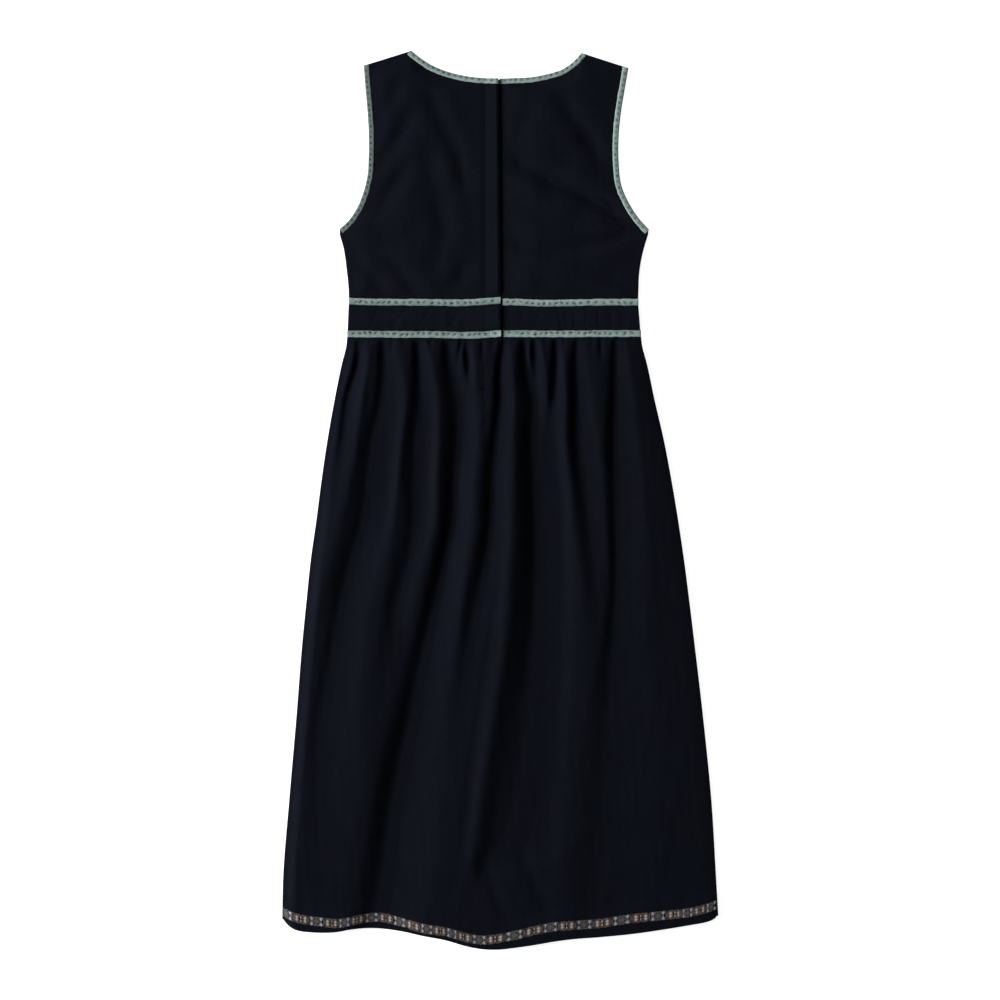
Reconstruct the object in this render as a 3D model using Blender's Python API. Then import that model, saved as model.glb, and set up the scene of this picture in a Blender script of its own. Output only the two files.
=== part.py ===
"""Child's sleeveless bunad dress, laid flat with its back up.

Frame: X runs across the dress, Y toward the neck and Z up from the surface it lies on. The origin
is on that surface, under the middle of the dress. Sizes below are millimetres; MM turns them into
the metres that the meshes are built in. Every piece of cloth is one closed wall: a grid of points
with a lower and an upper height at each point.
"""

import bpy
import numpy as np

MM = 0.001

# Walls and gaps
CLOTH = 1.4             # woven cloth with its seam allowance
TRIM = 1.0              # velvet trims, bindings and the hem ribbon
GAP = 0.3               # between neighbouring pieces
BACK_BASE = CLOTH + GAP  # height at which the back rests on the front

# Trims and bindings
TRIM_HALF = 4.15        # half the width of a waist trim
TRIM_CROWN = 0.35       # how much a trim is rounded along its middle
TRIM_EDGE = 0.7         # share of its thickness that a trim keeps along its edges
END_TAB = 12.5          # length of the lower trim's folded end
NECK_BINDING = 6.2      # width on the cloth
ARMHOLE_BINDING = {"left": 5.4, "right": 6.6}
LIP = 1.0               # wall of a binding where it turns down past the edge
RIBBON = 10.5           # width of the hem ribbon

# Centre back, where the left side laps over the right
LAP = 18.0              # how far the right side runs under the left
LAP_SLOPE = 8.5         # the left side comes down to the front within this width
LAP_RISE = CLOTH + GAP
LAP_EDGE = ((-1.7, 473.0), (2.8, 186.0))  # the lap's free edge at the neck and at the waist
LAP_SHOWS = 0.8         # trims and bindings of the right side start this far from that edge
RIGHT_START = 7.0       # x of the first column of the right back clear of the lap
UNDERLAP_SHORT = 1.8    # the waistband's hidden end stops this far above the skirt
PLACKET = 57.0          # length of the slit in the skirt below the waistband
SLIT_HALF = 0.3
SKIRT_LAP_SHARE = 0.4   # the skirt's left side rises this much of the lap beside the slit

# Outer edges of the bindings and side seams, each from the neck downward
NECK = [(-100.3, 506.7), (-89.6, 496.0), (-73.3, 486.4), (-58.6, 480.8), (-39.5, 475.9),
        (-20.0, 473.6), (0.0, 473.2), (17.0, 474.4), (36.0, 476.8), (55.0, 480.8),
        (69.3, 486.4), (83.4, 496.0), (91.9, 503.7)]
FRONT_NECK = [(-99.2, 504.5), (-86.0, 466.0), (-62.0, 430.0), (-32.0, 407.0), (-3.0, 400.0),
              (26.0, 406.0), (56.0, 429.0), (78.0, 464.0), (90.8, 502.0)]
ARMHOLE = {
    "left": [(-153.7, 486.4), (-151.1, 467.0), (-148.5, 434.5), (-147.0, 411.0), (-146.6, 387.0),
             (-147.9, 367.0), (-152.6, 348.5), (-160.8, 328.0), (-170.3, 313.5), (-180.6, 303.6)],
    "right": [(145.4, 485.3), (142.0, 467.0), (137.0, 434.5), (134.6, 411.0), (134.2, 382.0),
              (138.2, 353.5), (147.0, 332.5), (156.5, 316.5), (167.4, 303.4)],
}
SIDE = {
    "left": [(-179.3, 299.0), (-175.0, 284.5), (-171.5, 261.0), (-169.2, 232.0), (-169.5, 223.8)],
    "right": [(165.8, 299.0), (160.0, 279.0), (156.2, 256.5), (155.5, 232.0), (155.5, 223.3)],
}

# Middles of the two waist trims: x, upper trim y, lower trim y
WAIST = {
    "left": [(-171.5, 223.8, 186.3), (-110.0, 222.8, 185.6), (-50.0, 221.9, 184.9),
             (-20.0, 222.9, 185.8), (3.0, 224.2, 187.0)],
    "right": [(-18.0, 223.0, 186.4), (3.5, 222.6, 186.0), (45.0, 220.4, 185.4),
              (100.0, 221.4, 185.9), (158.5, 223.3, 186.3)],
}
WAIST["front"] = WAIST["left"][:3] + WAIST["right"][2:]
BAND_SIDE = {"left": (-169.6, -171.2), "right": (155.5, 158.2)}  # x at the upper and lower trim

# Skirt side seams: distance down from the waist seam, left x, right x
SKIRT_SIDE = [(0, -171.3, 158.2), (14, -172.6, 159.2), (32, -177.0, 163.5), (74, -185.0, 171.5),
              (119, -192.8, 182.0), (165, -199.6, 190.5), (210, -205.4, 198.4),
              (255, -212.0, 205.2), (300, -216.6, 211.0), (345, -221.0, 216.5),
              (435, -227.8, 226.6), (525, -235.6, 235.6), (615, -243.0, 241.5),
              (670, -244.2, 244.3)]

# Hem: x, y of the hem, y of the upper edge of the ribbon
HEM = [(-244.2, -472.0, -459.0), (-237.0, -480.5, -463.5), (-218.0, -486.5, -468.5),
       (-200.0, -487.5, -470.7), (-184.0, -486.2, -472.6), (-170.0, -483.5, -470.6),
       (-153.0, -482.0, -467.3), (-136.0, -482.7, -466.3), (-111.0, -486.0, -471.6),
       (-86.0, -491.0, -478.3), (-60.0, -497.0, -482.2), (-38.0, -503.0, -488.4),
       (-20.0, -506.0, -491.2), (-3.0, -506.7, -489.6), (17.0, -504.3, -485.8),
       (43.0, -500.4, -479.6), (60.0, -497.5, -476.4), (78.0, -495.0, -475.0),
       (112.0, -492.3, -472.8), (147.0, -489.5, -467.6), (186.0, -483.6, -463.7),
       (216.5, -478.5, -460.2), (238.0, -474.0, -454.6), (244.3, -468.6, -450.0)]

# The long folds of the back skirt. down: distance below the waist seam; x: where the bottom of
# each fold runs at those distances; crown: height of the cloth to the right of it
FOLD_DOWN = (12, 74, 165, 255, 345, 435, 525, 615, 690)
FOLDS = [
    {"name": "side_left", "crown": 8.0},
    {"name": "v1", "x": (-161, -174, -191, -198, -208, -218, -221, -220, -218), "crown": 9.0},
    {"name": "v2", "x": (-133, -141, -154, -175, -194, -210, -207, -198, -195), "crown": 12.0},
    {"name": "v3", "x": (-99, -96, -103, -109, -127, -146, -166, -177, -182), "crown": 13.0},
    {"name": "v4", "x": (-63, -56, -58, -69, -90, -110, -134, -151, -168), "crown": 12.5},
    {"name": "placket", "x": (2, -5, -16, -21, -39, -55, -70, -81, -88), "crown": 10.5},
    {"name": "v8", "x": (26, 31, 27, 31, 21, 14, 0, -9, -15), "crown": 12.0},
    {"name": "v10", "x": (62, 56, 49, 58, 58, 48, 46, 40, 34), "crown": 9.5},
    {"name": "v11", "x": (85, 82, 83, 97, 103, 84, 76, 66, 58), "crown": 11.5},
    {"name": "v13", "x": (129, 126, 126, 127, 122, 110, 101, 90, 82), "crown": 9.0},
    {"name": "side_right", "crown": 7.0},
]
# How deep each fold is (1 reaches the front) at distances down, and its half width at the
# waist and at the hem
DEPTH_DOWN = (12, 165, 345, 525, 690)
FOLD_DEPTH = {
    "v1": (0.90, 0.50, 0.00, 0.00, 0.00), "v2": (0.95, 0.90, 0.85, 0.50, 0.35),
    "v3": (0.90, 0.60, 0.35, 0.10, 0.00), "v4": (1.00, 1.00, 1.00, 0.95, 0.90),
    "placket": (0.85, 0.60, 0.50, 0.15, 0.00), "v8": (0.95, 0.90, 0.90, 0.85, 0.70),
    "v10": (0.85, 0.35, 0.40, 0.30, 0.00), "v11": (0.85, 0.70, 0.45, 0.10, 0.00),
    "v13": (0.90, 0.80, 0.70, 0.60, 0.40),
}
FOLD_WIDTH = {
    "v1": (4.5, 9.0), "v2": (5.0, 14.0), "v3": (5.0, 13.0), "v4": (5.5, 12.0),
    "placket": (5.0, 14.0), "v8": (6.5, 17.0), "v10": (5.0, 13.0), "v11": (5.5, 13.0),
    "v13": (5.5, 15.0),
}
# Short gathers that fade below the waistband: x, drift to the side, depth, half width, reach
GATHERS = [
    {"x": -152, "drift": -5, "depth": 0.50, "width": 3.5, "reach": 26},
    {"x": -121, "drift": -2, "depth": 0.50, "width": 3.5, "reach": 28},
    {"x": -79, "drift": 2, "depth": 0.40, "width": 3.5, "reach": 22},
    {"x": -42, "drift": -12, "depth": 0.75, "width": 4.0, "reach": 58},
    {"x": -20, "drift": 0, "depth": 0.40, "width": 3.5, "reach": 40},
    {"x": 14, "drift": 0, "depth": 0.35, "width": 3.5, "reach": 20},
    {"x": 40, "drift": -7, "depth": 0.75, "width": 4.0, "reach": 56},
    {"x": 73, "drift": -2, "depth": 0.45, "width": 3.5, "reach": 26},
    {"x": 114, "drift": 0, "depth": 0.60, "width": 4.0, "reach": 36},
    {"x": 145, "drift": 2, "depth": 0.30, "width": 3.5, "reach": 20},
]
CENTRE_FOLD = 5         # the placket fold, which the slit follows
# Grid columns between one long fold and the next, as fractions of the way
COLUMNS_BETWEEN = [(0.35, 0.68), (0.32, 0.68), (0.18, 0.36, 0.68), (0.28, 0.56, 0.78),
                   (0.17, 0.32, 0.49, 0.66, 0.83), (0.25, 0.5, 0.75), (0.2, 0.39, 0.7),
                   (0.25, 0.48, 0.75), (0.2, 0.43, 0.66, 0.83), (0.14, 0.32, 0.52, 0.74, 0.9)]
# Height of the back skirt over the front: distance down, share of the crown
RISE = [(0, 0.0), (6.4, 0.0), (10, 0.5), (16, 0.68), (30, 0.76), (74, 0.84), (165, 0.94),
        (345, 1.0), (525, 1.08), (690, 1.02)]
EDGE_EASE = 22.0        # the folds flatten this close to a side seam
RIBBON_RISE = TRIM + GAP  # the front lies on its own ribbon near the hem

# Rows of the skirt: fixed distances near the waist, then shares of the way to the ribbon
TOP_ROWS = (0.15, 5.0, 6.4, 10.0, 16.0, 30.0, 45.0, PLACKET)
LONG_ROWS = (0.05, 0.11, 0.17, 0.235, 0.30, 0.37, 0.44, 0.51, 0.58, 0.65, 0.72, 0.79, 0.86, 0.93)
FRONT_TOP_ROWS = (TRIM_HALF + GAP, 8.0, 20.0, 45.0, PLACKET)
FRONT_LONG_ROWS = (0.07, 0.16, 0.26, 0.37, 0.49, 0.61, 0.73, 0.85)
# Gathers of the front skirt, as channels in its underside: share of the crown at distances down
CHANNEL = [(0, 0.0), (8, 0.0), (20, 0.11), (57, 0.24), (165, 0.34), (345, 0.34), (525, 0.28),
           (615, 0.12), (645, 0.0), (700, 0.0)]
CHANNEL_SHARE = 0.30    # half width, as a share of the way between two folds
FRONT_INSET = 1.2       # the front's edges lie this far inside the back's

# Bodice drapes: from, to, depth, half width
PUFF = 2.6              # how far the back bodice stands off the front
DRAPES = [
    {"from": (-113, 475), "to": (-135, 449), "depth": 0.6, "width": 8},
    {"from": (-101, 440), "to": (-137, 386), "depth": 0.9, "width": 9},
    {"from": (-80, 445), "to": (-30, 338), "depth": 1.3, "width": 10},
    {"from": (-113, 371), "to": (-147, 322), "depth": 0.8, "width": 9},
    {"from": (-90, 389), "to": (-76, 272), "depth": 1.2, "width": 10},
    {"from": (17, 378), "to": (155, 309), "depth": 1.1, "width": 10},
    {"from": (77, 402), "to": (126, 352), "depth": 0.9, "width": 9},
    {"from": (13, 292), "to": (160, 290), "depth": 1.1, "width": 10},
]
PUFF_STEPS = (0.0, 0.0, 0.45, 0.8, 1.0)  # share of the puff, one row or column after another

# Grid of the bodice panels
ARM_ROWS = 11
SIDE_ROWS = 5
SHOULDER_COLUMNS = 4
NECK_COLUMNS = 7
FRONT_NECK_COLUMNS = 15
FRONT_SHOULDER_COLUMNS = 3
EDGE_INSET = LIP + GAP  # a bound edge lies this far inside the binding's outer edge
NECK_TIP_INSET = (1.1, -0.6)

# Colours, as linear red, green and blue
NAVY = (0.0075, 0.0085, 0.013)
SAGE = (0.27, 0.37, 0.31)
RIBBON_BLACK = (0.012, 0.012, 0.015)


# Curves ------------------------------------------------------------------------------------


def smooth(knots, values, at):
    """The cubic curve through the values at the knots, read at the given places."""
    knots = np.asarray(knots, dtype=float)
    values = np.asarray(values, dtype=float)
    slopes = np.gradient(values, knots)
    at = np.clip(at, knots[0], knots[-1])
    i = np.clip(np.searchsorted(knots, at) - 1, 0, len(knots) - 2)
    span = knots[i + 1] - knots[i]
    t = (at - knots[i]) / span
    start = values[i] * (1 + 2 * t) * (1 - t) ** 2 + slopes[i] * span * t * (1 - t) ** 2
    end = values[i + 1] * t * t * (3 - 2 * t) - slopes[i + 1] * span * t * t * (1 - t)
    return start + end


def along(points, shares):
    """Points at the given shares of the length of a smooth line through points."""
    points = np.asarray(points, dtype=float)
    steps = np.hypot(*np.diff(points, axis=0).T)
    reach = np.concatenate([[0.0], np.cumsum(steps)])
    at = np.asarray(shares) * reach[-1]
    return np.stack([smooth(reach, points[:, 0], at), smooth(reach, points[:, 1], at)], axis=-1)


def moved_out(line, distance):
    """A line moved to its right by a distance, with mitred corners."""
    line = np.asarray(line, dtype=float)
    steps = np.diff(line, axis=0)
    steps /= np.hypot(*steps.T)[:, None]
    before = np.vstack([steps[:1], steps])
    after = np.vstack([steps, steps[-1:]])
    middle = before + after
    middle /= np.hypot(*middle.T)[:, None]
    normal = np.stack([middle[:, 1], -middle[:, 0]], axis=-1)
    mitre = 1.0 / np.maximum((middle * after).sum(axis=1), 0.6)
    return line + normal * (distance * mitre)[:, None]


def ease(t):
    t = np.clip(t, 0.0, 1.0)
    return t * t * (3 - 2 * t)


def column(rows, i):
    return [row[i] for row in rows]


# Meshes ------------------------------------------------------------------------------------


def material(name, colour, roughness):
    made = bpy.data.materials.new(name)
    made.use_nodes = True
    shader = made.node_tree.nodes["Principled BSDF"]
    shader.inputs["Base Color"].default_value = (*colour, 1.0)
    shader.inputs["Roughness"].default_value = roughness
    shader.inputs["Metallic"].default_value = 0.0
    return made


def add_object(name, points_mm, faces, look):
    mesh = bpy.data.meshes.new(name)
    mesh.from_pydata([tuple(p) for p in np.asarray(points_mm) * MM], [], faces)
    mesh.materials.append(look)
    mesh.shade_smooth()
    mesh.set_sharp_from_angle(angle=0.7)
    made = bpy.data.objects.new(name, mesh)
    bpy.context.collection.objects.link(made)
    return made


def grid_faces(numbers):
    """Triangles of a grid of point numbers whose rows run down and whose columns run right."""
    faces = []
    for upper, lower in zip(numbers, numbers[1:]):
        for k in range(len(upper) - 1):
            faces.append((lower[k], lower[k + 1], upper[k + 1]))
            faces.append((lower[k], upper[k + 1], upper[k]))
    return faces


def closed_wall(name, plan, low, high, faces, look):
    """A wall from one set of plan points with a lower and an upper height, closed all round."""
    count = len(plan)
    points = np.vstack([np.column_stack([plan, low]), np.column_stack([plan, high])])
    upper = [tuple(v + count for v in face) for face in faces]
    lower = [face[::-1] for face in faces]
    edges = {(a, b) for face in faces for a, b in zip(face, face[1:] + face[:1])}
    rim = []
    for a, b in sorted(edges):
        if (b, a) not in edges:
            rim.append((a, b, b + count))
            rim.append((a, b + count, a + count))
    return add_object(name, points, upper + lower + rim, look)


def wall_from_grid(name, plan, low, high, look):
    rows, columns = low.shape
    numbers = np.arange(rows * columns).reshape(rows, columns).tolist()
    faces = grid_faces(numbers)
    return closed_wall(name, plan.reshape(-1, 2), low.ravel(), high.ravel(), faces, look)


def swept(name, rails, look):
    """A solid swept along rails: each rail is one corner of the section, in order round it."""
    rails = np.asarray(rails)
    corners, stations = rails.shape[:2]
    faces = []
    for k in range(corners):
        after = (k + 1) % corners
        for s in range(stations - 1):
            a, b = k * stations + s, k * stations + s + 1
            c, d = after * stations + s + 1, after * stations + s
            faces.append((a, b, c, d))
    faces.append(tuple(k * stations for k in range(corners)))
    faces.append(tuple(k * stations + stations - 1 for k in reversed(range(corners))))
    made = add_object(name, rails.reshape(-1, 3), faces, look)
    turn_outward(made)
    return made


def turn_outward(made):
    """Flips a closed mesh whose faces point in."""
    mesh = made.data
    volume = 0.0
    for face in mesh.polygons:
        centre = face.center
        volume += centre.dot(face.normal) * face.area
    if volume < 0:
        mesh.flip_normals()


def wall_height(plan, low, thickness):
    """Upper heights that keep the wall's thickness where it slopes."""
    steps = np.hypot(np.gradient(plan[..., 0], axis=1), np.gradient(plan[..., 1], axis=1))
    slope = np.gradient(low, axis=1) / np.maximum(steps, 0.5)
    return low + thickness * np.minimum(np.sqrt(1 + slope ** 2), 1.5)


# The waist line ----------------------------------------------------------------------------


def trim_middle(side, which, x):
    """y of the middle of the upper (1) or lower (2) waist trim."""
    rows = WAIST[side]
    return smooth(column(rows, 0), column(rows, which), x)


def lap_edge(y):
    """x of the free edge of the lap, which leans to the right toward the waist."""
    (x_neck, y_neck), (x_waist, y_waist) = LAP_EDGE
    return x_neck + (y_neck - y) / (y_neck - y_waist) * (x_waist - x_neck)


def lap_height(x):
    """How far the left side is lifted where it lies on the right side."""
    return LAP_RISE * ease((x + LAP + LAP_SLOPE) / LAP_SLOPE)


# Bodice ------------------------------------------------------------------------------------


def coons(top, bottom, left, right):
    """Grid of points inside four edges that share their corners."""
    u = np.linspace(0, 1, len(top))[None, :, None]
    t = np.linspace(0, 1, len(left))[:, None, None]
    rows = (1 - t) * top[None] + t * bottom[None]
    columns = (1 - u) * left[:, None] + u * right[:, None]
    corners = ((1 - t) * ((1 - u) * top[0] + u * top[-1])
               + t * ((1 - u) * bottom[0] + u * bottom[-1]))
    return rows + columns - corners


def armhole_line(side, inset, count):
    """Edge of a panel along an armhole, from the shoulder to the underarm."""
    line = along(ARMHOLE[side], np.linspace(0, 1, count))
    away = 1.0 if side == "left" else -1.0
    return moved_out(line, -inset * away)


def side_line(side, inset, count):
    away = 1.0 if side == "left" else -1.0
    line = along(SIDE[side], np.linspace(0, 1, count))
    line[:, 0] += inset * away
    return line


def outer_edge(side, arm_inset, side_inset):
    """Armhole and side seam of a panel as one line, shoulder to waist."""
    arm = armhole_line(side, arm_inset, ARM_ROWS)
    seam = side_line(side, side_inset, SIDE_ROWS)
    return np.vstack([arm, seam])


def neck_piece(x_from, x_to, count):
    """Neck edge of the back, moved in under its binding, between two places across."""
    whole = moved_out(along(NECK, np.linspace(0, 1, 60)), EDGE_INSET)
    x = np.linspace(x_from, x_to, count)
    return np.stack([x, np.interp(x, whole[:, 0], whole[:, 1])], axis=-1)


def back_panel_plan(side):
    """Plan points of one back panel, its columns running from left to right."""
    sign = -1.0 if side == "left" else 1.0
    inner = -LAP - LAP_SLOPE if side == "left" else RIGHT_START
    outer = outer_edge(side, EDGE_INSET, 0.0)
    corner = NECK[0] if side == "left" else NECK[-1]
    neck_tip = np.array([corner[0] + sign * NECK_TIP_INSET[0], corner[1] + NECK_TIP_INSET[1]])
    shares = np.linspace(0, 1, SHOULDER_COLUMNS + 1)[:-1, None]
    shoulder = outer[0] + (neck_tip - outer[0]) * shares
    neck = neck_piece(neck_tip[0], inner, NECK_COLUMNS)
    neck[0] = neck_tip
    top = np.vstack([shoulder, neck])
    x_waist = np.linspace(outer[-1][0], inner, len(top))
    bottom = np.stack([x_waist, trim_middle(side, 1, x_waist) + GAP / 2], axis=-1)
    outer[-1] = bottom[0]
    seam_shares = np.linspace(0, 1, len(outer))
    y_inner = top[-1][1] + (bottom[-1][1] - top[-1][1]) * seam_shares
    inner_line = np.stack([np.full(len(outer), inner), y_inner], axis=-1)
    plan = coons(top, bottom, outer, inner_line)
    return plan if side == "left" else plan[:, ::-1]


def lap_columns(plan, side):
    """Extra straight columns at the centre back, for the lap or for what lies under it."""
    edge_column = plan[:, -1] if side == "left" else plan[:, 0]
    y = edge_column[:, 1]
    if side == "left":
        places = [np.full(len(y), -LAP - GAP), lap_edge(y)]
    else:
        places = [np.full(len(y), -LAP + GAP), lap_edge(y) + LAP_SHOWS]
    neck_x, neck_y = neck_piece(-2 * LAP, LAP, NECK_COLUMNS * 3).T
    made = []
    for x in places:
        shifted = y.copy()
        shifted[0] = np.interp(x[0], neck_x, neck_y)
        shifted[-1] = trim_middle(side, 1, x[-1]) + GAP / 2
        made.append(np.stack([x, shifted], axis=-1))
    if side == "left":
        return np.concatenate([plan, np.stack(made, axis=1)], axis=1)
    return np.concatenate([np.stack(made, axis=1), plan], axis=1)


def drape_depth(x, y):
    """Depth of the soft drapes at a place on the bodice."""
    total = np.zeros_like(x)
    for fold in DRAPES:
        start = np.array(fold["from"], dtype=float)
        run = np.array(fold["to"], dtype=float) - start
        length = np.hypot(*run)
        run /= length
        t = (x - start[0]) * run[0] + (y - start[1]) * run[1]
        off = (x - start[0]) * run[1] - (y - start[1]) * run[0]
        beyond = np.maximum(0.0, np.maximum(-t, t - length))
        total += fold["depth"] * np.exp(-(off ** 2 + beyond ** 2) / fold["width"] ** 2)
    return total


def puff(shape, first=0, last=0):
    """Share of the puff at each grid point, rising from the edges inward."""
    rows, columns = shape
    r = np.arange(rows)
    c = np.arange(columns) - first
    steps_r = np.minimum(r, rows - 1 - r)
    steps_c = np.minimum(c, columns - 1 - last - first - c)
    steps = np.minimum(steps_r[:, None], steps_c[None, :])
    return np.interp(steps, range(len(PUFF_STEPS)), PUFF_STEPS)


def back_bodice(side, look):
    plan = lap_columns(back_panel_plan(side), side)
    x, y = plan[..., 0], plan[..., 1]
    if side == "left":
        share = puff(x.shape, last=2)
        low = BACK_BASE + lap_height(x)
    else:
        share = puff(x.shape, first=1)
        low = np.full(x.shape, BACK_BASE)
    low = low + share * (PUFF - drape_depth(x, y))
    high = low + CLOTH
    wall_from_grid("back_bodice_" + side, plan, low, high, look)
    return plan, low, high


def front_bodice(look):
    """One panel between the bindings, its neck cut lower than the back's."""
    bound = ARMHOLE_BINDING["left"] + FRONT_INSET + GAP
    left = outer_edge("left", bound, FRONT_INSET)
    bound = ARMHOLE_BINDING["right"] + FRONT_INSET + GAP
    right = outer_edge("right", bound, FRONT_INSET)
    scoop = along(FRONT_NECK, np.linspace(0, 1, FRONT_NECK_COLUMNS))
    scoop = moved_out(scoop, NECK_BINDING + GAP)
    tops = []
    for edge, tip in ((left, scoop[0]), (right, scoop[-1])):
        shares = np.linspace(0, 1, FRONT_SHOULDER_COLUMNS + 1)[:-1, None]
        tops.append(edge[0] + (tip - edge[0]) * shares)
    top = np.vstack([tops[0], scoop, tops[1][::-1]])
    x_waist = np.linspace(left[-1][0], right[-1][0], len(top))
    bottom = np.stack([x_waist, trim_middle("front", 1, x_waist) + TRIM_HALF + GAP], axis=-1)
    left[-1], right[-1] = bottom[0], bottom[-1]
    plan = coons(top, bottom, left, right)
    low = np.zeros(plan.shape[:2])
    wall_from_grid("front_bodice", plan, low, low + CLOTH, look)
    return plan, scoop


# Trims and bindings ------------------------------------------------------------------------


def folded_binding(name, edge, low, high, width, outward, look):
    """A binding on a cut edge: it lies on the cloth and turns down past the edge."""
    outer = moved_out(edge, outward * (LIP + GAP))
    lip = moved_out(edge, outward * GAP)
    inner = moved_out(edge, -outward * (width - LIP - GAP))
    seat = high + GAP
    edge_top = seat + TRIM * TRIM_EDGE
    rails = [np.column_stack([outer, low]), np.column_stack([outer, edge_top]),
             np.column_stack([lip, seat + TRIM]), np.column_stack([inner, edge_top]),
             np.column_stack([inner, seat]), np.column_stack([lip, seat]),
             np.column_stack([lip, low])]
    swept(name, rails, look)


def flat_binding(name, edge, width, outward, look):
    """A binding of the front, edge to edge with the panel it binds."""
    inner = moved_out(edge, outward * GAP)
    outer = moved_out(edge, outward * (GAP + width))
    floor = np.zeros(len(edge))
    rails = [np.column_stack([outer, floor]), np.column_stack([inner, floor]),
             np.column_stack([inner, floor + CLOTH]), np.column_stack([outer, floor + CLOTH])]
    swept(name, rails, look)


def waist_trim(name, x, y, seat, look):
    """A trim over a waist seam, rounded along its middle."""
    inner = TRIM_HALF * 0.55
    rows = np.array([TRIM_HALF, inner, -inner, -TRIM_HALF])
    crown = TRIM * np.array([TRIM_EDGE, 1.0, 1.0, TRIM_EDGE]) + np.array([0, 1, 1, 0]) * TRIM_CROWN
    plan = np.stack([np.broadcast_to(x, (4, len(x))), y[None] + rows[:, None]], axis=-1)
    low = np.broadcast_to(seat, (4, len(x)))
    wall_from_grid(name, plan, low, low + crown[:, None], look)


def waistband(name, x_upper, x_lower, y_upper, y_lower, low, look):
    plan = np.stack([np.column_stack([x_upper, y_upper]), np.column_stack([x_lower, y_lower])])
    heights = np.stack([low, low])
    wall_from_grid(name, plan, heights, heights + CLOTH, look)


def back_waist(side, x, look, sage):
    """Waistband and both trims of one side of the back, on the bodice's own columns."""
    sign = -1.0 if side == "left" else 1.0
    low = BACK_BASE + (lap_height(x) if side == "left" else 0.0 * x)
    outer_upper, outer_lower = BAND_SIDE[side]
    share = np.clip(sign * x / abs(outer_upper), 0, 1)
    x_lower = x + share * (outer_lower - outer_upper)
    y_upper = trim_middle(side, 1, x)
    y_lower = trim_middle(side, 2, x_lower)
    y_edge = y_lower + GAP / 2
    if side == "right":  # under the lap it ends above the skirt's left half
        hidden = x < lap_edge(y_lower) + LAP_SHOWS + GAP
        y_edge = np.where(hidden, y_edge + UNDERLAP_SHORT, y_edge)
    name = "waistband_back_" + side
    waistband(name, x, x_lower, y_upper - GAP / 2, y_edge, low, look)
    shown = slice(None) if side == "left" else slice(1, None)
    seat = (low + CLOTH + GAP)[shown]
    waist_trim("waist_trim_upper_back_" + side, x[shown], y_upper[shown], seat, sage)
    waist_trim("waist_trim_lower_back_" + side, x_lower[shown], y_lower[shown], seat, sage)
    return x_lower, y_lower, seat


def trim_end_tab(x_edge, y_middle, seat, look):
    """The folded end of the lower trim, on the lap."""
    x = x_edge - END_TAB * np.array([1.0, 0.5, 0.0])
    y = np.full(3, y_middle + 2 * GAP)
    waist_trim("trim_end_tab", x, y, np.full(3, seat + TRIM + TRIM_CROWN + GAP), look)


def front_waist(x, look, sage):
    """Waistband and trims of the front, edge to edge on the surface."""
    half = TRIM_HALF
    y_upper = trim_middle("front", 1, x)
    y_lower = trim_middle("front", 2, x)
    floor = np.zeros(len(x))
    waistband("waistband_front", x, x, y_upper - half - GAP, y_lower + half + GAP, floor, look)
    for name, y in (("upper", y_upper), ("lower", y_lower)):
        waistband("waist_trim_" + name + "_front", x, x, y + half, y - half, floor, sage)


# Skirt -------------------------------------------------------------------------------------


def skirt_side(which, down):
    return smooth(column(SKIRT_SIDE, 0), column(SKIRT_SIDE, which), down)


def guide(k, down):
    """x of the k-th guide line of the skirt: a side seam or the bottom of a long fold."""
    if k == 0:
        return skirt_side(1, down)
    if k == len(FOLDS) - 1:
        return skirt_side(2, down)
    knots = (0,) + FOLD_DOWN
    x = FOLDS[k]["x"]
    return smooth(knots, (x[0] + (x[0] - x[1]) * 0.15,) + x, down)


def skirt_columns(between):
    """Each column as a guide number plus the fraction of the way to the next guide."""
    places = []
    for k, fractions in enumerate(between):
        places.append(float(k))
        places.extend(k + f for f in fractions)
    places.append(float(len(between)))
    return np.array(places)


def column_x(place, down):
    """x of a column at distances down from the waist seam."""
    k = min(int(place), len(FOLDS) - 2)
    f = place - k
    return guide(k, down) * (1 - f) + guide(k + 1, down) * f


def hem_y(x, which=1):
    return smooth(column(HEM, 0), column(HEM, which), x)


def row_from_hem(place, side, which, offset):
    """Distance down to a row measured up from the hem (1) or the ribbon's upper edge (2). The
    column drifts as it runs down, so the distance is found by going there a few times."""
    down = SKIRT_SIDE[-1][0]
    for _ in range(6):
        x = column_x(place, down)
        down = trim_middle(side, 2, x) - hem_y(x, which) - offset
    return down


def skirt_plan(places, side, fixed_rows, shares, tail):
    """Plan points of a skirt half and their distances down: fixed rows near the waist, rows at
    shares of the way to the tail, and the tail's rows, measured from the hem."""
    columns = []
    for place in places:
        last = [row_from_hem(place, side, which, offset) for which, offset in tail]
        free = [fixed_rows[-1] + share * (last[0] - fixed_rows[-1]) for share in shares]
        columns.append(list(fixed_rows) + free + last)
    down = np.array(columns).T
    x = np.stack([column_x(place, down[:, c]) for c, place in enumerate(places)], axis=1)
    y = trim_middle(side, 2, x) - down
    return np.stack([x, y], axis=-1), down


def crown_at(places):
    """Height of the cloth between the folds, blended from one stretch to the next."""
    middles = np.arange(len(FOLDS) - 1) + 0.5
    crowns = [fold["crown"] for fold in FOLDS[:-1]]
    return np.interp(places, middles, crowns)


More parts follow.
